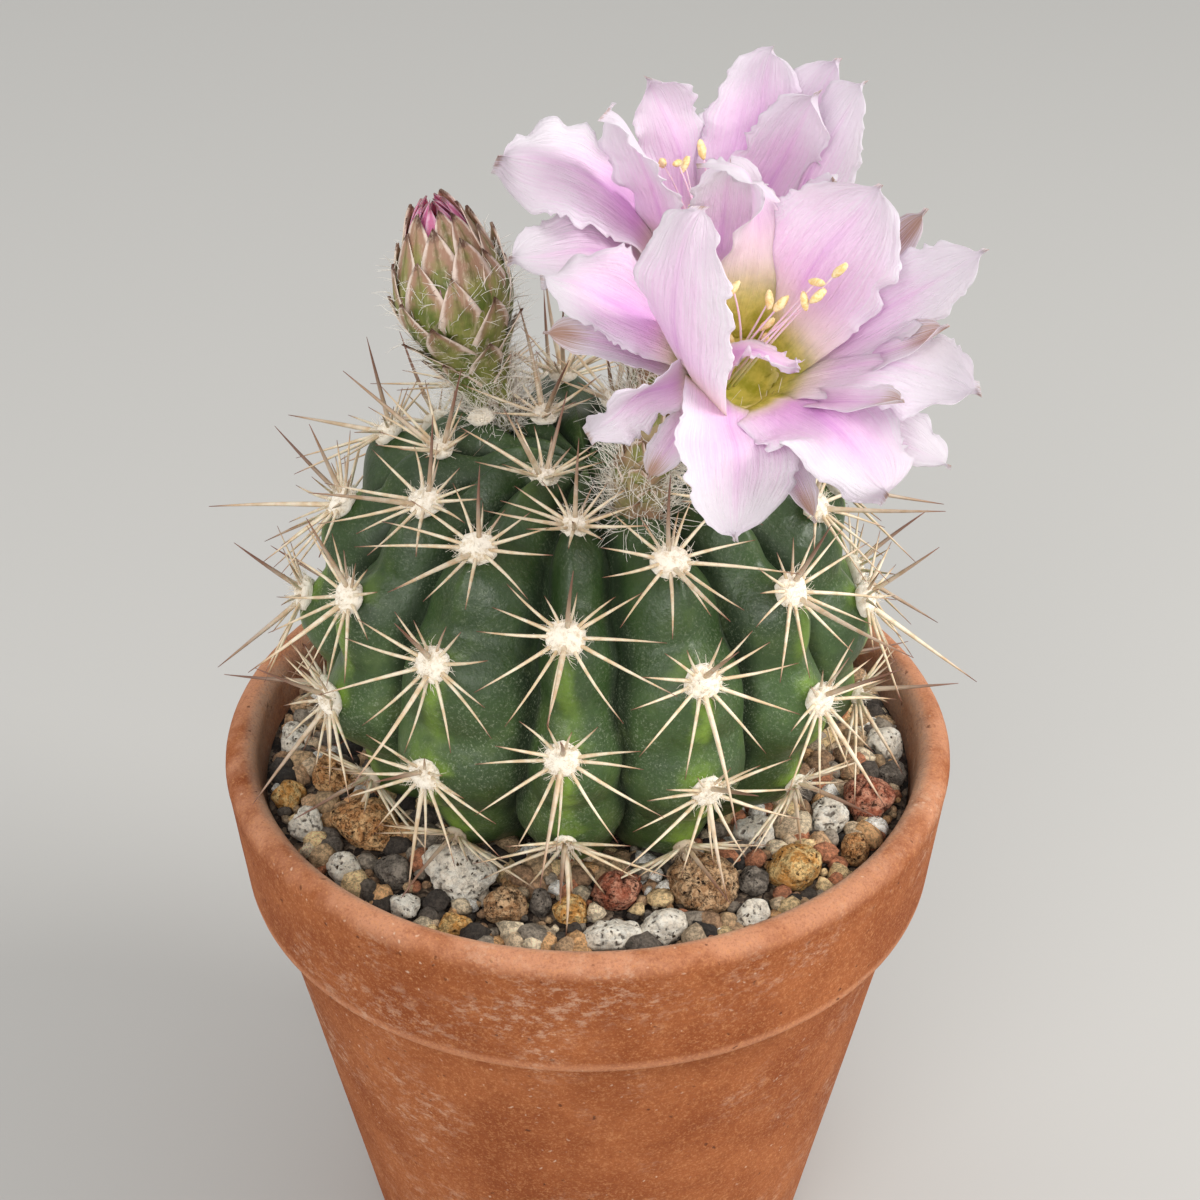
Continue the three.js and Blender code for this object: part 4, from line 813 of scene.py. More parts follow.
def skin_finish(plant):
    """Green skin: painted shade in the grooves, a painted shadow over the crown, painted highlights at the
    areoles, powder that is partly a painted sheen, specks and a corky foot.
    """
    f = Finish("green_skin", roughness=0.5)
    crest, painted_highlight, height = f.value("crest"), f.value("painted_highlight"), f.height()
    f.colour = f.mixed(f.ramp(f.noise(55, 4, 0.6), 0.35, 0.7), plant.skin_colour, "486332")
    # Painted shade: the skin darkens towards the grooves, over a wider band high up.
    from_groove = f.sum_of(crest, f.ramp(height, 0.148, 0.176, 0, -0.14))
    f.lay(f.ramp(from_groove, 0.2, 0.0, 0, 0.9), "1a2812")
    f.lay(f.ramp(f.noise(110, 4, 0.6), 0.5, 0.75, 0, 0.4), "66763f")
    # Painted highlight: paler yellow-green below each areole along the crest.
    lit = f.sum_of(painted_highlight, f.ramp(f.noise(160, 3), 0.3, 0.7, -0.15, 0.2))
    f.lay(f.ramp(lit, 0.22, 0.95, 0, 0.9), "83a33a")
    # Pale powder: partly the skin's own bloom, partly a painted sheen.
    powder_and_sheen = f.product(f.ramp(f.noise(2000, 3, 0.8), 0.52, 0.66), f.ramp(f.noise(120, 3), 0.3, 0.65))
    f.lay(powder_and_sheen, "a3ae90", 0.5)
    f.lay(f.ramp(f.noise(420, 5, 0.75), 0.4, 0.7, 0, 0.22), "1f3016")
    f.lay(f.marks(1250, (1100, 0.0014), (0.22, 0.1), f.noise(90, 3), (0.35, 0.65)), "b9c3a6", 0.22)
    # Painted shadow: the crown darkens where the blooms shade it.
    f.lay(f.ramp(height, 0.155, 0.178, 0, 0.5), "1d3315")
    corky = f.product(f.ramp(height, 0.128, 0.116), f.ramp(f.noise(60, 4), 0.45, 0.62))
    f.lay(corky, "837a4a", 0.45)
    rough = f.sum_of(f.ramp(f.noise(200, 4), 0.3, 0.7, 0.34, 0.5), f.ramp(crest, 0.3, 0.05, 0, 0.5))
    return f.done(f.sum_of(f.noise(700, 3, 0.6), (f.noise(90, 2), 2.0)), 0.4, 0.0006, rough)


# Wool and spines

PAD_ROWS, PAD_SIDES = 7, 16
HAIR_SIDES = 3


def pad_share(along):
    """Pads in the crown and down by the mix are smaller."""
    return np.where(along > CROWN_ARC, 0.78, 0.62 + 0.38 * smooth((along - 30) / 14))


def wool_pads(areoles):
    """Domes: a flattened ball, lumpy with fine noise, set into the skin at each areole."""
    d = ball_directions(PAD_ROWS, PAD_SIDES)
    crowded = pad_share(areoles["along"])[:, None, None]
    at = d[None] * np.array([3.5, 3.3, 1.9]) * crowded
    seeds = areoles["index"][:, None, None] * 11.3
    at = at * (1 + 0.2 * grain(at + seeds, 1.1, 3, 2))[..., None]
    points = along_axes(at, [areoles[k] for k in ("across", "up", "out")])
    return points + (areoles["place"] + 0.4 * areoles["out"])[:, None]


def hairs(roots, ways, lengths, radius, rows=5, curl=0.35, seed=0):
    """Fine hairs as stalks: root + way x length x t + curl x length x (a slow wave)."""
    n = len(roots)
    i = np.arange(n)
    t = np.linspace(0, 1, rows)[None, :, None]
    side = unit(np.cross(ways, np.stack([spread(i, seed + k) for k in (1, 2, 3)], -1)))
    other = np.cross(ways, side)
    start = 6.28 * draw(i, seed + 4)[:, None, None]
    wave = np.sin(2.6 * t + start) - np.sin(start)
    bend = side[:, None] * (t**2) + 0.45 * other[:, None] * wave * t
    paths = roots[:, None] + lengths[:, None, None] * (ways[:, None] * t + curl * bend)
    return paths, radius * (1 - 0.75 * t[..., 0]) * np.ones((n, 1))


def wool_hairs(areoles, each=74):
    """Felted hairs: roots over each dome, ways that lean out from its middle."""
    k = np.arange(len(areoles["index"]) * each)
    owner = k // each
    swing = 2 * np.pi * draw(k, 31)
    reach = np.sqrt(draw(k, 32))
    crowded = pad_share(areoles["along"][owner])
    across, up, out = (areoles[x][owner] for x in ("across", "up", "out"))
    flat = around(across, up, swing[:, None])
    roots = areoles["place"][owner] + flat * (3.3 * reach * crowded)[:, None]
    roots = roots + out * (0.3 + 1.6 * (1 - reach**2) * crowded)[:, None]
    ways = unit(flat * (0.35 + 0.9 * reach)[:, None] + out * 0.9)
    return hairs(roots, ways, 1.2 + 1.3 * draw(k, 33), 0.085, rows=4, curl=0.6, seed=40)


# One areole's spines: turn from the upward way, rise from the skin, length, how dark, how stout
SPINES = np.array([
    [66, 20, 14, 0.15, 1.0], [-72, 18, 14, 0.15, 1.0], [118, 15, 20, 0.1, 1.0], [-122, 15, 20, 0.1, 1.0],
    [183, 42, 25, 0.55, 1.4], [20, 26, 9, 0.6, 0.85], [-22, 28, 9, 0.6, 0.85], [44, 22, 12, 0.35, 0.9],
    [-46, 22, 13, 0.35, 0.9], [93, 15, 16, 0.12, 0.95], [-97, 15, 16, 0.12, 0.95], [148, 16, 17, 0.05, 0.95],
    [-150, 16, 18, 0.05, 0.95], [180, 15, 15, 0.0, 0.9], [4, 56, 19, 0.9, 1.35],
])
SPINE_ROWS, SPINE_SIDES = 7, 6
# The room under a tip, the height from which it is clear of the rim, its room to the wall and to the
# parts' box, and the length of the shortest spine that is made
TIP_OVER_MIX, TIP_OVER_RIM, TIP_OFF_WALL, TIP_IN_BOX, SHORTEST_SPINE = 2.2, 127, 2.0, 0.3, 4


def spine_paths(areoles, plant):
    """Straight needles with a slight sag: root + way x length x t, raised where they meet mix or pot."""
    count, kinds = len(areoles["index"]), len(SPINES)
    owner = np.repeat(np.arange(count), kinds)
    which = np.tile(np.arange(kinds), count)
    index = areoles["index"][owner]
    turn, rise, length, dark, stout = SPINES[which].T
    is_crown = areoles["along"][owner] > CROWN_ARC
    theta = np.radians(turn + 16 * (draw(index, which) - 0.5))
    lean = np.minimum(80, rise + 12 * is_crown + 10 * (draw(index, which + 20) - 0.5))
    alpha = np.radians(lean + 4 * spread(index, which + 90))
    reach = length * (1 + 0.24 * (draw(index, which + 40) - 0.5)) * np.where(is_crown, 0.85, 1)
    reach = reach * plant.spine_scale
    across, up, out = (areoles[x][owner] for x in ("across", "up", "out"))
    flat = around(up, across, theta[:, None])
    way = around(flat, out, alpha[:, None])
    root = areoles["place"][owner] + flat * (2.1 * np.cos(alpha) - 0.2)[:, None] + out * 0.9
    tip = areoles["place"][owner] + way * reach[:, None]
    tip, kept = cleared_tips(root, tip)
    t = np.linspace(0, 1, SPINE_ROWS)[None, :, None]
    straight = root[:, None] + (tip - root)[:, None] * t
    sag = unit(np.cross(tip - root, out))[:, None] * np.sin(np.pi * t)
    bend = 0.022 * reach * spread(index, which + 60)
    paths = straight + sag * bend[:, None, None]
    thick = 0.36 * stout[:, None] * (1 - t[..., 0] ** 1.5 * 0.95) ** 0.9 + 0.02
    dark = np.clip(dark + 0.18 * spread(index, which + 70), 0, 1)[:, None]
    values = {"along": np.broadcast_to(t[..., 0], thick.shape), "dark": np.broadcast_to(dark, thick.shape)}
    return paths[kept], thick[kept], {key: value[kept] for key, value in values.items()}


def cleared_tips(root, tip):
    """Keeps tips off the mix, inside or over the pot's wall, and inside the parts' box.

    The second result tells which spines are still long enough.
    """
    radius = np.linalg.norm(tip[:, :2], axis=1)
    tip = tip.copy()
    tip[:, 2] = np.maximum(tip[:, 2], mix_height(np.minimum(radius, 60)) + TIP_OVER_MIX)
    is_low = tip[:, 2] < TIP_OVER_RIM
    most = np.where(is_low, wall_radius(tip[:, 2].clip(0, 121)) - TIP_OFF_WALL, 200)
    squeeze = np.minimum(1, most / np.maximum(radius, 1))
    tip[:, :2] *= squeeze[:, None]
    tip[:, 2] += np.where(squeeze < 1, 1.5, 0)
    lo, hi = (np.array(c) / MM for c in PARTS_BOX)
    room = np.where(tip > root, hi - TIP_IN_BOX - root, root - lo - TIP_IN_BOX)
    share = np.clip((room / np.maximum(np.abs(tip - root), 1e-6)).min(axis=1), 0, 1)
    tip = root + (tip - root) * share[:, None]
    return tip, np.linalg.norm(tip - root, axis=1) > SHORTEST_SPINE


def wool_finish(plant):
    """Cream wool, browner down by the mix."""
    f = Finish("areole_wool", roughness=0.95, diffuse_roughness=0.8)
    f.colour = f.mixed(f.ramp(f.noise(750, 4, 0.7), 0.45, 0.72), plant.wool_colour, "dccbae")
    f.lay(f.ramp(f.height(), 0.139, 0.125, 0, 0.85), "b09572")
    return f.done(f.noise(2400, 3, 0.7), 0.6, 0.0004)


def spine_finish(plant):
    """Straw-coloured at the root and brown at the point; the darker ones are brown all along."""
    f = Finish("spine", roughness=0.42, subsurface_weight=0.08, subsurface_scale=0.001)
    along, dark = f.value("along"), f.value("dark")
    f.colour = f.mixed(f.ramp(f.noise(420, 2), 0.35, 0.7), plant.spine_colour, "dcc29c")
    f.lay(f.ramp(along, 0.45, 0.95, 0, 0.5), "bb8f66")
    f.lay(f.ramp(along, 0.78, 1.0), "6e3c2c")
    f.lay(f.product(f.ramp(dark, 0.3, 1.0), f.ramp(along, -0.4, 0.8)), "7d5848")
    return f.done()


# Blooms

# The floral cup, shared by the petals' roots and the cup's own surface
CUP = {"mouth": 9.6, "wall": 1.0, "depth": 13.0, "foot": 3.4, "belly": 0.7, "slope": 0.4, "drop": 6.0}
# Where along its length a petal is widest, and the power that rounds its end
WIDEST, POINT = 0.6, 0.55

# A bloom: the middle of its mouth, its axis, two places of its stalk, and what grows in it.
# A petal: azimuth of its root (az), tip, width, and how far it leaves the axis (flare). It may be turned
# round its line (twist, from late on), bowed sideways (sway), start more straight to its tip
# (straight), arrive in a set way (aim), be rooted deeper (lift), have a wide foot, be widest elsewhere,
# have more lilac (blush) or green, and be ruffled more or less.
FRONT_BLOOM = {
    "mouth": [26.3, -34, 224.5],
    "axis": [0.3, -0.5, 0.81],
    "seat": [9, -17.5, 184],
    "rise": [10.5, -22, 198],
    "petals": [
        {"az": -55, "tip": [18.7, -40, 255], "width": 21.5, "flare": 48, "twist": -18, "foot": 0.9,
         "widest": 0.42, "ruffle": 0.8},
        {"az": -10, "tip": [23.5, -61, 205.7], "width": 18.5, "flare": 30, "sway": -0.8, "foot": 0.8,
         "ruffle": 0.75, "green": 0.34, "lift": -1},
        {"az": 38, "tip": [46.7, -63, 215], "width": 22, "flare": 30, "foot": 0.95, "ruffle": 0.8,
         "green": 0.3, "lift": -2},
        {"az": 62, "tip": [61.4, -53, 227.2], "width": 17, "flare": 28, "twist": -8, "sway": 4,
         "blush": 0.55},
        {"az": 95, "tip": [62.8, -40, 245.8], "width": 12, "flare": 31, "twist": -20, "sway": 1,
         "ruffle": 1.2, "lift": 2},
        {"az": 132, "tip": [46.6, -27, 251], "width": 25, "flare": 12, "sway": 2.5, "foot": 0.5, "blush": 0.9,
         "green": 0.62, "ruffle": 0.65},
        {"az": 188, "tip": [17.8, -24, 253], "width": 15, "flare": 5, "twist": -75, "late": 0.3, "foot": 0.7,
         "aim": [-1, -0.25, -0.1], "green": 0.85},
        {"az": -62, "tip": [0.2, -49, 218], "width": 9.5, "flare": 40, "twist": 45, "sway": 1, "ruffle": 1.6},
        {"az": -105, "tip": [-7.2, -31, 236.6], "width": 17, "flare": 55},
        {"az": 58, "tip": [57.8, -52, 214], "width": 13, "flare": 45, "lift": 2, "blush": 0.6},
        {"az": -62, "tip": [33.5, -46, 228.5], "width": 8.5, "flare": -28, "twist": 40, "lift": -2,
         "blush": 1.4, "ruffle": 2.2},
    ],
    "sepals": [
        {"az": 80, "tip": [56.9, -44, 234.6], "width": 8, "flare": 40, "lift": 3},
        {"az": 125, "tip": [55, -23, 244.7], "width": 9, "flare": 46, "lift": 3},
        {"az": 50, "tip": [47.9, -66, 233.2], "width": 6, "flare": 35, "lift": 2},
        {"az": -30, "tip": [10.1, -44, 206.8], "width": 6, "flare": 60, "lift": 3},
        {"az": 18, "tip": [36.6, -57, 206.7], "width": 8, "flare": 45, "lift": 3},
        {"az": -88, "tip": [-6.7, -38, 230.2], "width": 9, "flare": 60, "lift": 3},
    ],
    "anthers": [
        [23.5, -34, 236], [31, -37, 234.9], [34.6, -38, 235.9], [36.4, -38, 239.2],
        [36.7, -38, 236.8], [39.9, -38, 241.3], [29.5, -32, 233],
    ],
}
BACK_BLOOM = {
    "mouth": [22, 7, 222],
    "axis": [0.02, 0.05, 1],
    "seat": [9, 10, 184],
    "rise": [14, 9, 198],
    "petals": [
        {"az": -95, "tip": [-15.2, 2, 242], "width": 20, "flare": 20, "twist": 20},
        {"az": -60, "tip": [-13, -11, 229.7], "width": 17, "flare": 45, "twist": 30, "sway": 1},
        {"az": -75, "tip": [3, -4, 254.6], "width": 14, "flare": 0, "twist": -35, "straight": 0.4},
        {"az": -140, "tip": [10.1, 14, 252.6], "width": 13, "flare": 14, "sway": -2},
        {"az": 165, "tip": [32.4, 24, 255.1], "width": 17, "flare": 18, "straight": 0.7, "sway": -1},
        {"az": 150, "tip": [39.7, 10, 251.2], "width": 14.5, "flare": 10, "straight": 0.5, "sway": -1},
        {"az": 135, "tip": [43.8, 21, 253.4], "width": 12, "flare": 18, "straight": 0.6},
        {"az": 110, "tip": [48.2, 13, 252], "width": 15, "flare": 24, "twist": -25, "straight": 0.5,
         "sway": -1},
        {"az": 5, "tip": [24, -9, 246], "width": 15, "flare": 10},
        {"az": 60, "tip": [41, -7, 243], "width": 14, "flare": 15},
        {"az": 168, "tip": [31, 42, 238], "width": 16, "flare": 30},
        {"az": -160, "tip": [10, 38, 229], "width": 14, "flare": 30},
        {"az": 112, "tip": [48, 27, 235], "width": 13, "flare": 30},
    ],
    "sepals": [
        {"az": -100, "tip": [-10.2, 6, 235], "width": 8, "flare": 40, "lift": 3},
        {"az": -130, "tip": [-4, 24, 228], "width": 8, "flare": 50, "lift": 3},
        {"az": 140, "tip": [42, 34, 228], "width": 8, "flare": 50, "lift": 3},
        {"az": 95, "tip": [51, 8, 228], "width": 8, "flare": 50, "lift": 3},
    ],
    "anthers": [
        [19.6, 4, 243], [13, 4, 240.5], [15.6, 4, 240.5], [11.6, 4, 236.5], [17, 9, 238], [27, 6, 238],
    ],
}


def bloom_axes(bloom):
    """The middle of a bloom's mouth and the unit direction that it faces."""
    return np.array(bloom["mouth"], float), unit(np.array(bloom["axis"], float))


def petal_line(bloom, petal, rows):
    """The petal's middle line from the cup's wall to its tip, with its crosswise and facing ways."""
    mouth, axis = bloom_axes(bloom)
    e = outward(petal["az"])
    e = unit(e - axis * (e @ axis))
    drop = CUP["drop"] + petal.get("lift", 0)
    root = mouth + e * (CUP["mouth"] - CUP["wall"] / 2 - CUP["slope"] * drop) - axis * drop
    tip = np.array(petal["tip"], float)
    length = np.linalg.norm(tip - root)
    chord = (tip - root) / length
    flare = np.radians(petal["flare"])
    leave = axis * np.cos(flare) + e * np.sin(flare)
    leave = unit(leave + (chord - leave) * petal.get("straight", 0))
    arrive = 2 * chord * (leave @ chord) - leave
    reach = length * (1 + 0.35 * np.arccos(min(1, leave @ chord)) ** 2)
    far = reach
    if "aim" in petal:
        arrive, far = unit(np.array(petal["aim"], float)), reach * 1.3
    t = np.linspace(0, 1, rows)
    place, along = cubic(t, root, leave * reach, tip, arrive * far)
    across = carried_across(along, np.cross(axis, e))
    late = petal.get("late", 0)
    twist = (np.radians(petal.get("twist", 0)) * smooth((t - late) / 0.45))[:, None]
    across = across * np.cos(twist) + np.cross(across, along) * np.sin(twist)
    place = place + across * (petal.get("sway", 0) * np.sin(np.pi * t))[:, None]
    return t, place, across, np.cross(across, along)


# Where a petal's rounded end lies along it, and how wide the small point beyond it is
ROUND_END, NIB = 0.965, 0.09


def petal_width(t, petal):
    """Half width over the widest half: a sine from the foot to the widest place, then a rounded fall.

    The root of the sum of squares adds a small point beyond the rounded end.
    """
    foot, widest = petal.get("foot", 0.5), petal.get("widest", WIDEST)
    u = np.clip(t / ROUND_END, 0, 1)
    rise = foot + (1 - foot) * np.sin(np.clip(u / widest, 0, 1) * np.pi / 2) ** 1.3
    fall = np.maximum(0, 1 - np.clip((u - widest) / (1 - widest), 0, 1) ** 2.5) ** POINT
    nib = NIB * np.clip((1 - t) / 0.06, 0, 1)
    return np.sqrt(np.where(u < widest, rise, fall) ** 2 + nib**2)


PETAL_ROWS, PETAL_COLUMNS = 80, 21
# What rises over this height is eased, so that it gains less than this room
EASED_FROM, EASED_ROOM = 250, 5


def petal_points(bloom, petal, seed, is_sepal, thick):
    """The petal's two faces over (t along, v across).

    middle(t) + half width(t, v) x v x across - facing x (cupping + midrib + waves). The half width has
    broad lobes and small teeth, and the waves grow towards the edges; each side has its own. What
    rises over 250 mm is eased, so that it stays under 255 mm.
    """
    t, middle, across, facing = petal_line(bloom, petal, PETAL_ROWS)
    v = np.linspace(-1, 1, PETAL_COLUMNS)[None, :]
    T, V = t[:, None] + 0 * v, v + 0 * t[:, None]
    edge, side, width = np.abs(V), np.sign(V) * 4.0, petal["width"]
    ruffled = petal.get("ruffle", 0.5 if is_sepal else 1.0)
    at = np.stack([T, side, 0 * T + 5.3 * seed], -1)
    grown = smooth((T - 0.25) / 0.4)
    lobes = 0.2 * grain(at * [5.5, 1, 1], 1.0, seed, 1) * edge**2
    scallops = 0.13 * grain(at * [14, 1, 1], 1.0, seed + 3, 1) * edge**4
    teeth = 0.13 * (0.6 - np.abs(2 * grain(at * [24, 1, 1], 1.0, seed + 7, 1))) * edge**6
    half = width / 2 * petal_width(t, petal)[:, None]
    half = np.maximum(half * (1 + ruffled * grown * (lobes + scallops + teeth)), 0.22)
    swell = 0.24 * grain(at * [3.1, 1, 1], 1.0, seed + 9, 1) * edge**1.4
    frill = 0.12 * grain(at * [9.5, 1, 1], 1.0, seed + 12, 1) * edge**2.5
    whole = 0.12 * grain(np.stack([T * 3.5, V * 1.2, 0 * T + seed], -1), 1.0, seed + 2, 1)
    waves = ruffled * width * smooth((T - 0.12) / 0.5) * (swell + frill + whole)
    pleats = 0.03 * np.cos(V * 24 + 12 * whole) * (0.3 + 0.7 * edge)
    midrib = 0.5 * np.exp(-((V / 0.1) ** 2)) * (1 - 0.6 * T) * (-0.5 if is_sepal else 1.0)
    cupping = (0.34 if is_sepal else 0.13) * half * edge**1.4
    down = cupping + (midrib + pleats) * width / 18 - waves
    at = middle[:, None] + across[:, None] * (half * V)[..., None] - facing[:, None] * down[..., None]
    body = thick * (0.3 + 0.7 * (1 - T)) * (1 - 0.55 * edge**4)
    front = at + facing[:, None] * (body / 2)[..., None]
    back = at - facing[:, None] * (body / 2)[..., None]
    faces = np.stack([front, back]).reshape(-1, 3)
    over = np.maximum(faces[:, 2] - EASED_FROM, 0)
    faces[:, 2] -= over - EASED_ROOM * (1 - np.exp(-over / EASED_ROOM))
    return faces, petal_values(T, V, seed, is_sepal, petal)


def petal_values(T, V, seed, is_sepal, petal):
    """Where lilac gathers (down the middle), where the throat's green shows, and where tips brown."""
    edge = np.abs(V)
    line = 0.25 * np.exp(-((V / 0.06) ** 2)) * smooth((1.05 - T) / 0.4)
    lilac = petal.get("blush", 1) * smooth((1.15 - T) / 0.9) * (1 - 0.75 * edge**1.5)
    lilac = lilac * (0.8 + 0.35 * draw(seed, 5)) + line
    reach = petal.get("green", 0.46)
    throat = smooth((reach - T) / (0.92 * reach))
    start, depth, most = (0.55, 0.42, 0.85) if is_sepal else (0.955, 0.04, 0.7)
    rust = smooth((T - start) / depth) * most * (1 - 0.5 * edge)
    both = {"lilac": lilac, "throat": throat, "rust": rust}
    uv = np.stack([0.5 + 0.5 * V, T + 0 * V], -1)
    uv = np.stack([uv, uv]).reshape(-1, 2)
    return {**{key: np.stack([x, x]).ravel() for key, x in both.items()}, "uv": uv}


def bloom_petals(bloom, settings, first_seed):
    """Every petal and sepal of a bloom, as one set of points with its values and its grid."""
    points, values = [], []
    listed = [(p, False) for p in bloom["petals"]] + [(p, True) for p in bloom["sepals"]]
    for k, (petal, is_sepal) in enumerate(listed):
        at, own = petal_points(bloom, petal, first_seed + k, is_sepal, settings.petal_thickness / MM)
        points.append(at)
        values.append(own)
    merged = {key: np.concatenate([v[key] for v in values]) for key in values[0]}
    return np.concatenate(points), merged, (len(listed), PETAL_ROWS, PETAL_COLUMNS)


CUP_SIDES = 28


def square_ways(axis):
    """Two directions square to an axis, the first as near to +X as it can be."""
    e1 = unit(np.array([1.0, 0, 0]) - axis * axis[0])
    return e1, np.cross(axis, e1)


def cup_points(bloom):
    """The floral cup as a thin bowl: outside from foot to mouth, over its edge, inside to the foot."""
    mouth, axis = bloom_axes(bloom)
    depth = CUP["depth"]
    belly = CUP["mouth"] - CUP["slope"] * depth * CUP["belly"]
    outline = [
        [1.2, -depth - 1.1], [CUP["foot"], -depth - 0.6], [belly * 0.86, -depth * 0.85],
        [belly, -depth * 0.7], [7.5, -5.6], [7.3, -5.2], [6.9, -5.4], [5.9, -7.2], [4.6, -8.6],
        [3.0, -9.6], [1.0, -10.1],
    ]
    e1, e2 = square_ways(axis)
    a = np.linspace(0, 2 * np.pi, CUP_SIDES, endpoint=False)[None, :, None]
    r, h = (np.array(outline)[:, k][:, None, None] for k in (0, 1))
    rings = mouth + axis * h + around(e1, e2, a) * r
    ends = [mouth + axis * (-depth - 1.2), mouth - axis * 10.2]
    return np.concatenate([rings.reshape(-1, 3), ends]), len(outline)


def cup_values(rows):
    """How green the cup is: cream from its edge, green towards its floor. It has no lilac middle."""
    inside = np.clip((np.arange(rows) - 4.5) / 3, 0, 1)
    throat = np.append(np.repeat(0.78 + 0.22 * inside, CUP_SIDES), [0.78, 1.0])
    return {"lilac": 0.5 + 0 * throat, "throat": throat, "rust": 0 * throat}


def petal_finish(settings):
    """Pale edges, lilac middles, cream and green towards the throat, brown tips and crumpled veins."""
    f = Finish("petal", roughness=0.5, subsurface_weight=0.38, subsurface_scale=0.002,
               subsurface_radius=(1.0, 0.85, 1.0), specular_ior_level=0.25)
    lilac, throat, rust = f.value("lilac"), f.value("throat"), f.value("rust")
    uv = f.node("UVMap", uv_map="along_the_piece")
    veins = f.noise(1, 4, 0.65, f.stretched((30, 1.3, 1), vector=uv))
    fine_veins = f.noise(1, 3, 0.6, f.stretched((95, 2.5, 1), vector=uv))
    streaked = f.sum_of(lilac, f.ramp(fine_veins, 0.3, 0.75, -0.12, 0.14))
    streaked = f.sum_of(streaked, f.ramp(f.noise(60, 3, 0.5), 0.3, 0.7, -0.14, 0.14))
    f.colour = f.mixed(f.ramp(streaked, 0.0, 0.7), settings.edge_colour, settings.petal_colour)
    f.lay(f.ramp(streaked, 0.55, 1.2, 0, 0.8), settings.midrib_colour)
    f.lay(f.ramp(throat, 0.1, 0.75, 0, 0.8), "fae3d6")
    deep = f.mixed(f.ramp(f.noise(260, 4, 0.6), 0.35, 0.65), settings.throat_colour, "b3b03c")
    f.lay(f.ramp(throat, 0.6, 1.0), deep)
    f.lay(f.ramp(f.sum_of(rust, f.ramp(veins, 0.3, 0.7, -0.2, 0.2)), 0.2, 0.8), "b78a72")
    over_both = f.node("VectorMath", {0: uv, 1: f.place})
    crumpled = f.noise(1, 5, 0.65, f.stretched((7, 5, 1), vector=over_both))
    pleated = f.noise(1, 4, 0.6, f.stretched((26, 4.5, 1), vector=uv))
    satin = f.noise(900, 2, 0.6)
    relief = f.sum_of(veins, (fine_veins, 0.7), (crumpled, 2.4), (pleated, 1.6), (satin, 0.35))
    return f.done(relief, 0.55, 0.0007)


TUBE_ROWS, TUBE_SIDES = 40, 28
TUBE_SCALES, TUBE_HAIRS = 40, 1050
# The turn from one scale to the next round a stalk, in radians
SPIRAL = 2.39996


def tube_surface(bloom):
    """Centres, radii and ring directions of a stalk that widens into the cup's collar.

    Its middle line is a smooth curve through its seat, its rise, the cup's foot and its belly.
    """
    mouth, axis = bloom_axes(bloom)
    knots = [bloom["seat"], bloom["rise"], mouth - axis * 17, mouth - axis * 7.5]
    centres = through(np.array([np.array(k, float) for k in knots]), TUBE_ROWS)
    u = np.linspace(0, 1, TUBE_ROWS)
    thin = 4.5 + 0.5 * u
    radii = thin + (8.6 - thin) * smooth((u - 0.55) / 0.45)
    along = unit(np.gradient(centres, axis=0))
    across = carried_across(along, np.array([1.0, 0.2, 0]))
    return centres, radii, along, across, np.cross(along, across)


def tube_points(bloom):
    """The stalk's skin with lengthwise ridges, and its two end points."""
    centres, radii, along, across, beside = tube_surface(bloom)
    a = np.linspace(0, 2 * np.pi, TUBE_SIDES, endpoint=False)[None, :, None]
    ridges = 1 + 0.05 * np.cos(9 * a + np.linspace(0, 2, TUBE_ROWS)[:, None, None])
    rings = around(across[:, None], beside[:, None], a) * radii[:, None, None] * ridges
    rings = centres[:, None] + rings
    return np.concatenate([rings.reshape(-1, 3), centres[:1], centres[-1:] - along[-1:] * 7.5])


def on_tube(bloom, row, angle, out):
    """The place on a stalk's ring at an angle and a distance off its skin, its spoke and upward way."""
    centres, radii, along, across, beside = tube_surface(bloom)
    spoke = around(across[row], beside[row], angle[:, None])
    return centres[row] + spoke * (radii[row] + out)[:, None], spoke, along[row]


def tube_scales(bloom, count, seed):
    """Narrow pointed scales up the stalk in a spiral: each starts on the skin and leans off it."""
    i = np.arange(count)
    row = ((0.16 + 0.72 * i / (count - 1)) * (TUBE_ROWS - 1)).astype(int)
    root, spoke, up = on_tube(bloom, row, i * SPIRAL, -0.3)
    length = 4.2 + 4.0 * i / count
    width = 1.5 + 1.2 * i / count
    return leaf_blades(root, up, spoke, length, width, 0.28 + 0.12 * spread(i, seed), 0.28)


LEAF_ROWS, LEAF_COLUMNS = 9, 5


def leaf_blades(root, level, spoke, length, half, lean, thick):
    """Small pointed blades: root + level x length x t + spoke x (lean x length x t to the power 1.6 - a
    cup across)."""
    t = np.linspace(0, 1, LEAF_ROWS)[None, :, None, None]
    v = np.linspace(-1, 1, LEAF_COLUMNS)[None, None, :, None]
    side = np.cross(level, spoke)[:, None, None]
    length, half, lean = (x[:, None, None, None] for x in (length, half, lean))
    wide = half * (1 - t**1.8) ** 0.8 * (0.75 + 0.5 * np.sin(np.pi * np.minimum(t * 1.3, 1))) + 0.05
    rise = lean * length * t**1.6 - 0.35 * wide * v**2 + 0.3
    at = root[:, None, None] + level[:, None, None] * length * t + side * wide * v
    at = at + spoke[:, None, None] * rise
    shift = spoke[:, None, None] * (thick / 2) * (1 - 0.7 * t)
    points = np.stack([at + shift, at - shift], axis=1).reshape(-1, 3)
    along = np.broadcast_to(t[None], (len(root), 2, LEAF_ROWS, LEAF_COLUMNS, 1))
    edge = np.broadcast_to(np.abs(v)[None], along.shape)
    values = {"along": along.ravel(), "edge": edge.ravel(), "high": np.full(len(points), 0.7)}
    return points, values, (len(root), LEAF_ROWS, LEAF_COLUMNS)


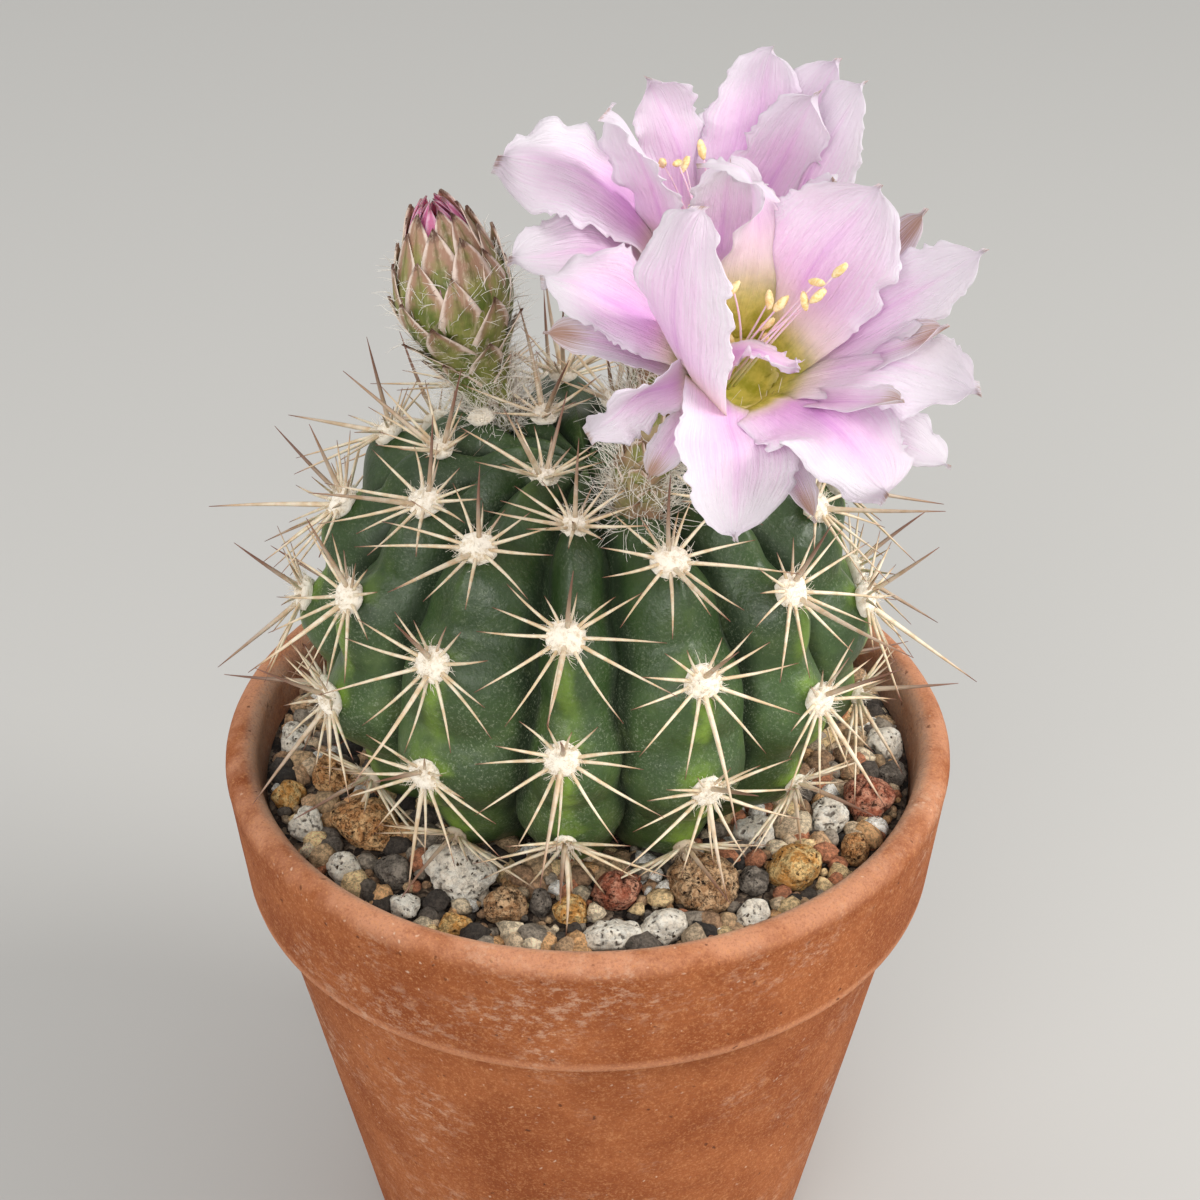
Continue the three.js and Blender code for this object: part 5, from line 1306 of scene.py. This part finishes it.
def tube_hairs(bloom, count, seed):
    """Long woolly hairs from the stalk's skin, thickest low down, that lean up and out."""
    i = np.arange(count)
    row = (draw(i, seed) ** 1.15 * 0.93 * (TUBE_ROWS - 1)).astype(int)
    roots, spoke, up = on_tube(bloom, row, 2 * np.pi * draw(i, seed + 1), -0.1)
    out, rise = 0.3 + 0.6 * draw(i, seed + 2), 0.2 + 0.9 * draw(i, seed + 3)
    ways = unit(spoke * out[:, None] + up * rise[:, None])
    return hairs(roots, ways, 3.5 + 5.5 * draw(i, seed + 4), 0.105, rows=5, curl=0.5, seed=seed + 5)


def hair_finish():
    """Cream hairs, some of them brown."""
    f = Finish("plant_hair", roughness=0.7)
    f.colour = f.mixed(f.ramp(f.value("dark"), 0.86, 1.0), "fffaf0", "94725a")
    return f.done()


def tube_finish():
    """Patches of olive, tan and dull pink."""
    f = Finish("flower_tube", roughness=0.75)
    f.colour = f.mixed(f.ramp(f.noise(240, 4, 0.6), 0.35, 0.65), "8f8a58", "c0a884")
    f.lay(f.ramp(f.noise(110, 3), 0.42, 0.62, 0, 0.75), "a07560")
    return f.done(f.noise(800, 3), 0.4, 0.0004)


def scale_finish():
    """Green at the root, pink-brown towards the point, pale thin edges and a brown point."""
    f = Finish("scale", roughness=0.6)
    along, edge, high = f.value("along"), f.value("edge"), f.value("high")
    wander = f.ramp(f.noise(330, 4, 0.65), 0.3, 0.7, -0.2, 0.2)
    f.colour = f.mixed(f.ramp(f.noise(200, 3), 0.35, 0.65), "5c6c26", "92924e")
    further = f.ramp(f.sum_of(along, (high, 0.6)), 0.4, 1.6, -0.4, 0.6)
    f.lay(f.ramp(f.sum_of(edge, wander, further), 0.22, 0.92, 0, 0.85), "b58876")
    f.lay(f.ramp(f.sum_of(edge, (wander, 0.4)), 0.64, 0.9, 0, 0.95), "f4e0d2")
    f.lay(f.product(f.ramp(edge, 0.16, 0.0, 0, 0.5), f.ramp(along, 0.3, 0.9)), "6e4a38")
    f.lay(f.ramp(f.sum_of(along, (wander, 0.3)), 0.88, 1.0), "5e3c2e")
    lines = f.noise(1, 4, 0.7, f.stretched((900, 900, 150)))
    f.lay(f.ramp(lines, 0.5, 0.68, 0, 0.5), "dccbb0")
    return f.done(lines, 0.5, 0.0005)


# Stamens

FILAMENT_SIDES = 5
ANTHER_ROWS, ANTHER_SIDES = 5, 8


def stamen_paths(bloom, extra, seed):
    """Filaments from the foot of the cup: the placed ones, then shorter ones at the back by rule."""
    mouth, axis = bloom_axes(bloom)
    i = np.arange(extra)
    ring = outward(180 + 60 * spread(i, seed))
    tips = mouth + ring * (2.5 + 3.5 * draw(i, seed))[:, None] + axis * (1 + 5 * draw(i, seed + 1))[:, None]
    tips = np.concatenate([np.array(bloom["anthers"], float), tips])
    turn = (np.arange(len(tips)) * 2.4)[:, None]
    roots = mouth - axis * 11.2 + around(*square_ways(axis), turn) * 1.3
    t = np.linspace(0, 1, 9)[None, :, None]
    leave = axis * np.linalg.norm(tips - roots, axis=1, keepdims=True) * 0.75
    paths = roots[:, None] + leave[:, None] * (t - t**2) + (tips - roots)[:, None] * (t**2 * 0.6 + t * 0.4)
    return paths, 0.27 * (1 - 0.45 * t[..., 0]) * np.ones((len(tips), 1))


def anther_points(paths, seed):
    """Pollen sacs: an ellipsoid at each filament's tip, lying across it at a free angle."""
    i = np.arange(len(paths))
    along = unit(paths[:, -1] - paths[:, -2])
    free = np.stack([spread(i, seed + k) for k in range(3)], -1)
    way = unit(along * 0.8 + free)
    side = unit(np.cross(way, free + 0.01))
    d = ball_directions(ANTHER_ROWS, ANTHER_SIDES)
    lumps = 1 + 0.14 * grain(d[None] * 2 + i[:, None, None] * 2.3, 0.7, 2, 1)
    sacs = d * lumps[..., None] * np.array([0.78, 0.66, 1.7])
    return paths[:, -1:] + along_axes(sacs, (side, np.cross(way, side), way))


def filament_finish():
    """Pale green at the root, pink above."""
    f = Finish("filament", roughness=0.5, subsurface_weight=0.2, subsurface_scale=0.001)
    f.colour = f.mixed(f.ramp(f.value("along"), 0.1, 0.7), "dfe0a8", "f3d6e2")
    return f.done()


def anther_finish():
    """Grainy pale yellow pollen."""
    f = Finish("anther", roughness=0.85)
    f.colour = f.mixed(f.ramp(f.noise(1300, 3, 0.7), 0.35, 0.65), "fbedb9", "f0cf84")
    return f.done(f.noise(2600, 2), 0.8, 0.0003)


# The bud

BUD = {"seat": [-19, 14.5, 184], "tip": [-27.5, 13, 231]}
# The bud's radius by its height along the axis, as height and radius
BUD_OUTLINE = np.array([
    [0, 3.9], [5, 4.0], [10, 4.7], [15, 6.1], [20, 8.1], [25, 9.6], [30, 9.5], [35, 7.7], [39.5, 5.5],
    [43.5, 3.3], [46, 1.5], [47, 0.4],
])
BUD_ROWS, BUD_SIDES = 36, 28


def bud_radius(height):
    """The bud's outline, rounded between its points."""
    knots = through(BUD_OUTLINE, 240)
    return np.interp(height, knots[:, 0], knots[:, 1])


def bud_axes():
    """The bud's seat, its axis and two directions square to it."""
    seat = np.array(BUD["seat"], float)
    axis = unit(np.array(BUD["tip"], float) - seat)
    return seat, axis, *square_ways(axis)


def on_bud(height, angle, out):
    """The place at a height along the bud, an angle round it and a distance off its outline.

    The stalk bends over by 3 mm x (1 - height / 28) squared near its seat.
    """
    seat, axis, e1, e2 = bud_axes()
    radius = np.maximum(0.15, bud_radius(height) + out)
    bend = e1 * (3.0 * np.clip(1 - height / 28, 0, 1.1) ** 2)[..., None]
    return seat + axis * height[..., None] + bend + around(e1, e2, angle[..., None]) * radius[..., None]


def bud_core():
    """A plain spindle just under the scales, and its values."""
    height = np.linspace(-2.0, 41.5, BUD_ROWS)[:, None] + np.zeros((1, BUD_SIDES))
    angle = np.linspace(0, 2 * np.pi, BUD_SIDES, endpoint=False)[None] + 0 * height
    rings = on_bud(height, angle, np.full(height.shape, -1.1))
    ends = on_bud(np.array([-2.2, 42.0]), np.zeros(2), np.full(2, -20.0))
    points = np.concatenate([rings.reshape(-1, 3), ends])
    return points, {key: np.full(len(points), x) for key, x in (("along", 0.2), ("edge", 0.3), ("high", 0.0))}


def bud_blades(base, angle, length, half, lift, thick, rows=17, columns=9):
    """Overlapping pointed blades on the bud over (t along, v across), hugging its outline.

    Height is base + length x t, and the angle is the middle's + v x half width / radius, where the half
    width goes as (1 - t) x the root of (t + 0.12). The way off is a start + lift x t to the power 2.4,
    more along the keel and at the curled edges, less at the foot's edges so that each laps its
    neighbours.
    """
    t = np.linspace(0, 1, rows)[None, :, None]
    v = np.linspace(-1, 1, columns)[None, None, :]
    base, angle, length, half, lift = (x[:, None, None] for x in (base, angle, length, half, lift))
    height = base + length * t + 0 * v
    wide = half * (1 - t) ** 1.05 * (t + 0.12) ** 0.5 / 0.44 + 0.05
    angle = angle + v * wide / np.maximum(bud_radius(height), 2.2)
    curl = 0.35 * np.abs(v) ** 3 * (t + 0.2)
    keel = 0.55 * np.exp(-((v / 0.3) ** 2)) * (1 - t)
    out = 0.15 + lift * t**2.4 - 0.5 * np.abs(v) ** 1.6 * (1 - t) + keel
    body = thick * (1 - 0.6 * t) * (1 - 0.4 * v**2)
    both = np.stack([on_bud(height, angle, out + curl + s * body / 2) for s in (1, -1)], axis=1)
    values = {"along": t + 0 * v, "edge": np.abs(v) + 0 * t, "high": height / 46}
    values = {key: np.broadcast_to(x[:, None], both.shape[:-1]).ravel() for key, x in values.items()}
    return both.reshape(-1, 3), values, (len(both), rows, columns)


def bud_scales(bud):
    """Scales in a spiral from the stalk to the point: small and narrow below, long at the swelling."""
    i = np.arange(bud.scale_count)
    share = i / (bud.scale_count - 1)
    base = 1.5 + 27.5 * share**0.85
    length = 9.5 + 9.5 * np.sin(np.pi * (0.06 + 0.64 * share)) + 1.6 * spread(i, 81)
    length = np.minimum(length, 46.4 - base)
    half = 2.3 + 2.9 * np.sin(np.pi * (0.06 + 0.66 * share)) ** 0.9 - 0.8 * share**4
    lift = 1.4 + 2.2 * draw(i, 82) ** 2 - 0.5 * share**3
    angle = i * SPIRAL + 0.9 + 0.1 * spread(i, 86)
    return bud_blades(base, angle, length, half, lift, 0.5)


def bud_petals():
    """Folded pink petals that close into the bud's point, between the upper scales."""
    i = np.arange(14)
    base = 27.5 + 7.0 * (i / 13)
    length = 46.9 - base - 1.4 * draw(i, 84)
    half = 3.3 - 1.2 * (i / 13)
    lift = 0.5 * draw(i, 85) - 1.6 * (i > 8)
    return bud_blades(base, i * SPIRAL + 0.4, length, half, lift, 0.4)


def bud_hairs(bud):
    """White and brown hairs from between the scales, densest on the stalk and the lower half."""
    i = np.arange(bud.hair_count)
    height = 36 * draw(i, 91) ** 1.8 - 1
    angle = 2 * np.pi * draw(i, 92)
    roots = on_bud(height, angle, np.full(len(i), 0.2))
    axis, e1, e2 = bud_axes()[1:]
    out, rise = 0.25 + 0.5 * draw(i, 93), 0.5 + 0.6 * draw(i, 94)
    ways = unit(around(e1, e2, angle[:, None]) * out[:, None] + axis * rise[:, None])
    lengths = (3.5 + 6.0 * draw(i, 95)) * (1 - 0.5 * height / 34)
    return hairs(roots, ways, lengths, 0.1, rows=6, curl=0.6, seed=96)


def bud_petal_finish(bud):
    """Pink, paler at the edges and the root, with brown points."""
    f = Finish("bud_petal", roughness=0.5, subsurface_weight=0.15, subsurface_scale=0.002)
    along, edge = f.value("along"), f.value("edge")
    wander = f.ramp(f.noise(420, 4, 0.65), 0.3, 0.7, -0.2, 0.2)
    f.colour = f.mixed(f.ramp(f.sum_of(edge, wander), 0.2, 0.9), bud.petal_colour, "e9aec6")
    f.lay(f.ramp(f.sum_of(along, wander), 0.1, 0.6, 0.6, 0), "e0b4bc")
    f.lay(f.ramp(along, 0.9, 1.0, 0, 0.8), "6a4034")
    return f.done(f.noise(600, 3), 0.3, 0.0004)


# Settings, each with the value that this plant has


def shade(name, colour, what):
    """A colour, given as a screen colour."""
    return FloatVectorProperty(
        name=name, description=what, subtype="COLOR", size=4, min=0, max=1, default=linear(colour)
    )


def measure(name, value, what, unit="NONE"):
    """A number with its unit."""
    return FloatProperty(name=name, description=what, default=value, min=0, unit=unit)


def how_many(name, value, what):
    """A number of things."""
    return IntProperty(name=name, description=what, default=value, min=2)


class PotSettings(bpy.types.PropertyGroup):
    rim_height: measure("Rim height", POT_TOP[2], "Height of the pot's rim", "LENGTH")
    rim_radius: measure("Rim radius", POT_TOP[0], "Outer radius of the rim", "LENGTH")
    clay_colour: shade("Clay", "8e4922", "Colour of the fired clay")


class GravelSettings(bpy.types.PropertyGroup):
    grit_count: how_many("Grit", 2400, "How many small stones are strewn between the others")
    # Set darker than the soil itself, as painted shade in the gaps between stones.
    mix_colour: shade("Mix", "2f251d", "Colour of the growing mix")


class PlantSettings(bpy.types.PropertyGroup):
    spine_scale: measure("Spine length", 1.0, "Length against this plant's own")
    skin_colour: shade("Skin", "334922", "Colour of the plant's skin")
    wool_colour: shade("Wool", "fdf6e9", "Colour of the areoles' wool")
    spine_colour: shade("Spines", "f4e6cc", "Colour of the spines near their roots")


class BloomSettings(bpy.types.PropertyGroup):
    petal_thickness: measure("Petal thickness", 0.0004, "Thickness at a petal's root", "LENGTH")
    stamen_count: how_many("Stamens", 3, "Short stamens in each bloom")
    edge_colour: shade("Edge", "f0e4f1", "Colour of a petal's edge")
    petal_colour: shade("Petal", "f2c6ec", "Colour of a petal")
    midrib_colour: shade("Midrib", "dc98da", "Colour down a petal's middle")
    throat_colour: shade("Throat", "e0d468", "Colour in the throat")


class BudSettings(bpy.types.PropertyGroup):
    scale_count: how_many("Scales", 43, "How many scales cover the bud")
    hair_count: how_many("Hairs", 1700, "How many hairs the bud has")
    petal_colour: shade("Bud petals", "cf6c98", "Colour of the closed petals")


class StudioSettings(bpy.types.PropertyGroup):
    key_power: measure("Main light", 9.2, "Power of the main light", "POWER")
    fill_power: measure("Fill light", 5.6, "Power of the fill light", "POWER")
    room_light: measure("Room light", 0.66, "Strength of the light from all round")
    pitch: FloatProperty(
        name="Pitch", description="How far the camera looks down", subtype="ANGLE",
        default=math.radians(33.79),
    )
    distance: measure("Distance", 0.4867, "From the camera to the place that it looks at", "LENGTH")
    lens: measure("Lens", 77.97, "Focal length in millimetres")
    floor_colour: shade("Floor", "bdbcb9", "Colour of the plain floor")


SETTINGS = {
    "cactus_pot": PotSettings,
    "cactus_gravel": GravelSettings,
    "cactus_plant": PlantSettings,
    "cactus_bloom": BloomSettings,
    "cactus_bud": BudSettings,
    "cactus_studio": StudioSettings,
}

# Operators


def make_stalks(name, paths, radii, sides, material, stands_for=(), slot=None, values=None):
    """One piece of many thin stalks; each of its values has a number for every ring of every stalk."""
    faces = closed_faces(len(paths), paths.shape[1], sides)
    values = {key: ring_values(value, sides).ravel() for key, value in (values or {}).items()}
    return make_piece(name, ring_points(paths, radii, sides), faces, material, stands_for, values)


def make_hairs(name, paths, radii, seed, material, slot):
    """Hairs as stalks, each with its own draw of how dark it is."""
    dark = draw(np.arange(len(paths)), seed)[:, None] + 0 * radii
    return make_stalks(name, paths, radii, HAIR_SIDES, material, (), slot, {"dark": dark})


def make_blades(name, points, values, grid, material, stands_for, slot):
    """One piece of thin blades on grids of the given count, rows and columns, with flat rims."""
    values = dict(values)
    uv = values.pop("uv", None)
    faces = shell_faces(*grid)
    return make_piece(name, points, faces, material, stands_for, values, uv, flat_rims=True)


class MakePot(bpy.types.Operator):
    """Make the clay pot with its collar and lip"""

    bl_idname = "cactus.make_pot"
    bl_label = "Pot"

    def execute(self, context):
        pot = context.scene.cactus_pot
        points = pot_points(pot)
        faces = [grid_faces(*points.shape[:2], wrap_columns=True, wrap_rows=True)]
        make_piece("clay_pot", points, faces, clay_finish(pot), ["pot"])
        return {"FINISHED"}


class MakeMix(bpy.types.Operator):
    """Make the growing mix and the fine grit on it"""

    bl_idname = "cactus.make_mix"
    bl_label = "Growing mix and grit"

    def execute(self, context):
        gravel = context.scene.cactus_gravel
        points, rows = mix_points(MIX_ROWS, MIX_SIDES)
        faces = closed_faces(1, rows, MIX_SIDES)
        make_piece("growing_mix_bed", points, faces, mix_finish(gravel), ["growing_mix"])
        points, colour = grit_points(gravel.grit_count)
        faces = closed_faces(len(points), GRIT_ROWS, GRIT_SIDES)
        make_piece("grit", points, faces, grit_finish(), (), {"own_colour": colour})
        return {"FINISHED"}


class MakeStones(bpy.types.Operator):
    """Make the loose stones of the top dressing"""

    bl_idname = "cactus.make_stones"
    bl_label = "Stones"

    def execute(self, context):
        finishes = {kind: stone_finish(kind) for kind in STONE_KINDS}
        for index, stone in enumerate(stone_list()):
            width, kind, node = stone[2], stone[6], "stone_%02d" % (index + 1)
            mesh = LARGE_MESH if width > LARGE_STONE else SMALL_MESH
            points, pores = stone_points(index, stone, *mesh)
            faces, slot = closed_faces(1, *mesh), kind + "_stone"
            make_piece(node + "_rough", points, faces, finishes[kind], [node], {"pore": pores})
        return {"FINISHED"}


class MakeBody(bpy.types.Operator):
    """Make the plant's ribbed body"""

    bl_idname = "cactus.make_body"
    bl_label = "Ribbed body"

    def execute(self, context):
        points, values = body_grid(BODY_ROWS, RIB_STEPS)
        faces = closed_faces(1, BODY_ROWS, RIBS * RIB_STEPS)
        finish = skin_finish(context.scene.cactus_plant)
        make_piece("ribbed_body", points, faces, finish, ["cactus"], values)
        return {"FINISHED"}


class MakeAreoles(bpy.types.Operator):
    """Make the woolly areoles along the ribs"""

    bl_idname = "cactus.make_areoles"
    bl_label = "Woolly areoles"

    def execute(self, context):
        areoles = areole_frames()
        finish = wool_finish(context.scene.cactus_plant)
        points = wool_pads(areoles)
        faces = closed_faces(len(points), PAD_ROWS, PAD_SIDES)
        make_piece("areole_pads", points, faces, finish, ())
        make_stalks("areole_wool", *wool_hairs(areoles), HAIR_SIDES, finish, (), "cactus_skin")
        return {"FINISHED"}


class MakeSpines(bpy.types.Operator):
    """Make the clusters of spines"""

    bl_idname = "cactus.make_spines"
    bl_label = "Spines"

    def execute(self, context):
        plant = context.scene.cactus_plant
        areoles = areole_frames()
        kept = clear_of_blooms(areoles)
        areoles = {key: value[kept] for key, value in areoles.items()}
        paths, radii, values = spine_paths(areoles, plant)
        make_stalks("spines", paths, radii, SPINE_SIDES, spine_finish(plant), (), "cactus_skin", values)
        return {"FINISHED"}


class MakeTubes(bpy.types.Operator):
    """Make the hairy, scaly stalks of the two blooms"""

    bl_idname = "cactus.make_tubes"
    bl_label = "Flower tubes"

    def execute(self, context):
        tube, scale, hair = tube_finish(), scale_finish(), hair_finish()
        slot = "flower_tube"
        for side, bloom, seed in (("front", FRONT_BLOOM, 100), ("back", BACK_BLOOM, 160)):
            faces = closed_faces(1, TUBE_ROWS, TUBE_SIDES)
            make_piece(side + "_tube", tube_points(bloom), faces, tube, [side + "_bloom_tube"])
            make_blades(side + "_tube_scales", *tube_scales(bloom, TUBE_SCALES, seed), scale, (), slot)
            make_hairs(side + "_tube_hair", *tube_hairs(bloom, TUBE_HAIRS, seed), seed + 9, hair, slot)
        return {"FINISHED"}


class MakePetals(bpy.types.Operator):
    """Make the petals, sepals and floral cups"""

    bl_idname = "cactus.make_petals"
    bl_label = "Petals"

    def execute(self, context):
        settings = context.scene.cactus_bloom
        finish = petal_finish(settings)
        for side, bloom, seed in (("front", FRONT_BLOOM, 1), ("back", BACK_BLOOM, 41)):
            petals = bloom_petals(bloom, settings, seed)
            make_blades(side + "_petals", *petals, finish, [side + "_bloom_petals"], "petals")
            points, rows = cup_points(bloom)
            faces = closed_faces(1, rows, CUP_SIDES)
            make_piece(side + "_cup", points, faces, finish, (), cup_values(rows))
        return {"FINISHED"}


class MakeStamens(bpy.types.Operator):
    """Make the filaments and their anthers"""

    bl_idname = "cactus.make_stamens"
    bl_label = "Stamens"

    def execute(self, context):
        extra = context.scene.cactus_bloom.stamen_count
        filament, anther = filament_finish(), anther_finish()
        for side, bloom, seed in (("front", FRONT_BLOOM, 200), ("back", BACK_BLOOM, 230)):
            node = side + "_bloom_stamens"
            paths, radii = stamen_paths(bloom, extra, seed)
            along = {"along": np.linspace(0, 1, paths.shape[1]) + 0 * radii}
            make_stalks(
                side + "_filaments", paths, radii, FILAMENT_SIDES, filament, [node], "stamens", along
            )
            points = anther_points(paths, seed + 5)
            faces = closed_faces(len(points), ANTHER_ROWS, ANTHER_SIDES)
            make_piece(side + "_anthers", points, faces, anther, ())
        return {"FINISHED"}


class MakeBud(bpy.types.Operator):
    """Make the bud: its scales, closed petals and hairs"""

    bl_idname = "cactus.make_bud"
    bl_label = "Bud"

    def execute(self, context):
        bud = context.scene.cactus_bud
        scale = scale_finish()
        points, values = bud_core()
        faces = closed_faces(1, BUD_ROWS, BUD_SIDES)
        make_piece("bud_core", points, faces, scale, (), values)
        make_blades("bud_scale_leaves", *bud_scales(bud), scale, ["bud_scales"], "bud_scales")
        pink = bud_petal_finish(bud)
        make_blades("bud_closed_petals", *bud_petals(), pink, ["bud_petals"], "bud_petals")
        make_hairs("bud_hair", *bud_hairs(bud), 99, hair_finish(), "bud_scales")
        return {"FINISHED"}


FLOOR_HALF = 3.0
SENSOR_WIDTH = 36.0
LOOK_AT = np.array([0.00238, 0.0, 0.1538])
LIGHTS_AIM = np.array([0, 0, 0.15])
# Each light: the setting of its power and its share of it, its place and size in metres, its colour
LIGHTS = {
    "main_light": ("key_power", 1.0, (0.84, -0.22, 0.86), 0.6, (1.0, 0.985, 0.96)),
    "fill_light": ("fill_power", 1.0, (-0.2, -0.9, 0.74), 0.8, (1.0, 0.99, 0.975)),
    "back_light": ("fill_power", 0.2, (-0.7, 0.6, 0.8), 0.7, (1.0, 1.0, 1.0)),
}


def add_area_light(name, power, place, size, colour):
    """A round soft light at a place, turned to the lights' aim."""
    lamp = bpy.data.lights.new(name, "AREA")
    lamp.shape, lamp.size, lamp.energy, lamp.color = "DISK", size, power, colour
    light = bpy.data.objects.new(name, lamp)
    x, y, z = LIGHTS_AIM - np.array(place)
    light.location = place
    light.rotation_euler = (math.atan2(math.hypot(x, y), -z), 0, math.atan2(-x, y))
    bpy.context.scene.collection.objects.link(light)


class MakeStudio(bpy.types.Operator):
    """Make the plain floor, the soft lights and the camera"""

    bl_idname = "cactus.make_studio"
    bl_label = "Studio"

    def execute(self, context):
        scene = context.scene
        studio = scene.cactus_studio
        corners = [(x * FLOOR_HALF, y * FLOOR_HALF, 0) for x, y in ((-1, -1), (1, -1), (1, 1), (-1, 1))]
        mesh = bpy.data.meshes.new("floor")
        mesh.from_pydata(corners, [], [(0, 1, 2, 3)])
        finish = Finish("plain_floor", roughness=0.8, base_color=studio.floor_colour)
        mesh.materials.append(finish.material)
        floor = bpy.data.objects.new("floor", mesh)
        scene.collection.objects.link(floor)
        for name, (setting, share, place, size, colour) in LIGHTS.items():
            add_area_light(name, getattr(studio, setting) * share, place, size, colour)
        world = bpy.data.worlds.new("soft_room")
        world.use_nodes = True
        room = world.node_tree.nodes["Background"].inputs
        room["Color"].default_value = (1.0, 0.995, 0.985, 1)
        room["Strength"].default_value = studio.room_light
        scene.world = world
        scene.view_settings.view_transform = "Standard"
        lens = bpy.data.cameras.new("camera")
        lens.lens, lens.sensor_width = studio.lens, SENSOR_WIDTH
        lens.clip_start, lens.clip_end = 0.02, 20.0
        camera = bpy.data.objects.new("camera", lens)
        back = np.array([0, -math.cos(studio.pitch), math.sin(studio.pitch)])
        camera.location = LOOK_AT + back * studio.distance
        camera.rotation_euler = (math.pi / 2 - studio.pitch, 0, 0)
        scene.collection.objects.link(camera)
        scene.camera = camera
        return {"FINISHED"}


OPERATORS = [
    MakeStudio, MakePot, MakeMix, MakeStones, MakeBody, MakeAreoles, MakeSpines, MakeTubes, MakePetals,
    MakeStamens, MakeBud,
]


class CactusPanel(bpy.types.Panel):
    """Lists the pieces in the 3D view's sidebar"""

    bl_idname = "VIEW3D_PT_potted_cactus"
    bl_label = "Potted cactus"
    bl_space_type = "VIEW_3D"
    bl_region_type = "UI"
    bl_category = "Cactus"

    def draw(self, context):
        for operator in OPERATORS:
            self.layout.operator(operator.bl_idname)
        for key, group in SETTINGS.items():
            box = self.layout.box()
            for name in group.__annotations__:
                box.prop(getattr(context.scene, key), name)


def register():
    """Registers the settings, the operators and the panel."""
    for group in SETTINGS.values():
        bpy.utils.register_class(group)
    for key, group in SETTINGS.items():
        setattr(bpy.types.Scene, key, PointerProperty(type=group))
    for operator in OPERATORS:
        bpy.utils.register_class(operator)
    bpy.utils.register_class(CactusPanel)


def unregister():
    """Takes them away again, the last first."""
    bpy.utils.unregister_class(CactusPanel)
    for operator in reversed(OPERATORS):
        bpy.utils.unregister_class(operator)
    for key in SETTINGS:
        delattr(bpy.types.Scene, key)
    for group in reversed(list(SETTINGS.values())):
        bpy.utils.unregister_class(group)


def main():
    """Makes the whole object, piece by piece."""
    register()
    for operator in OPERATORS:
        group, name = operator.bl_idname.split(".")
        getattr(getattr(bpy.ops, group), name)()


if __name__ == "__main__":
    main()
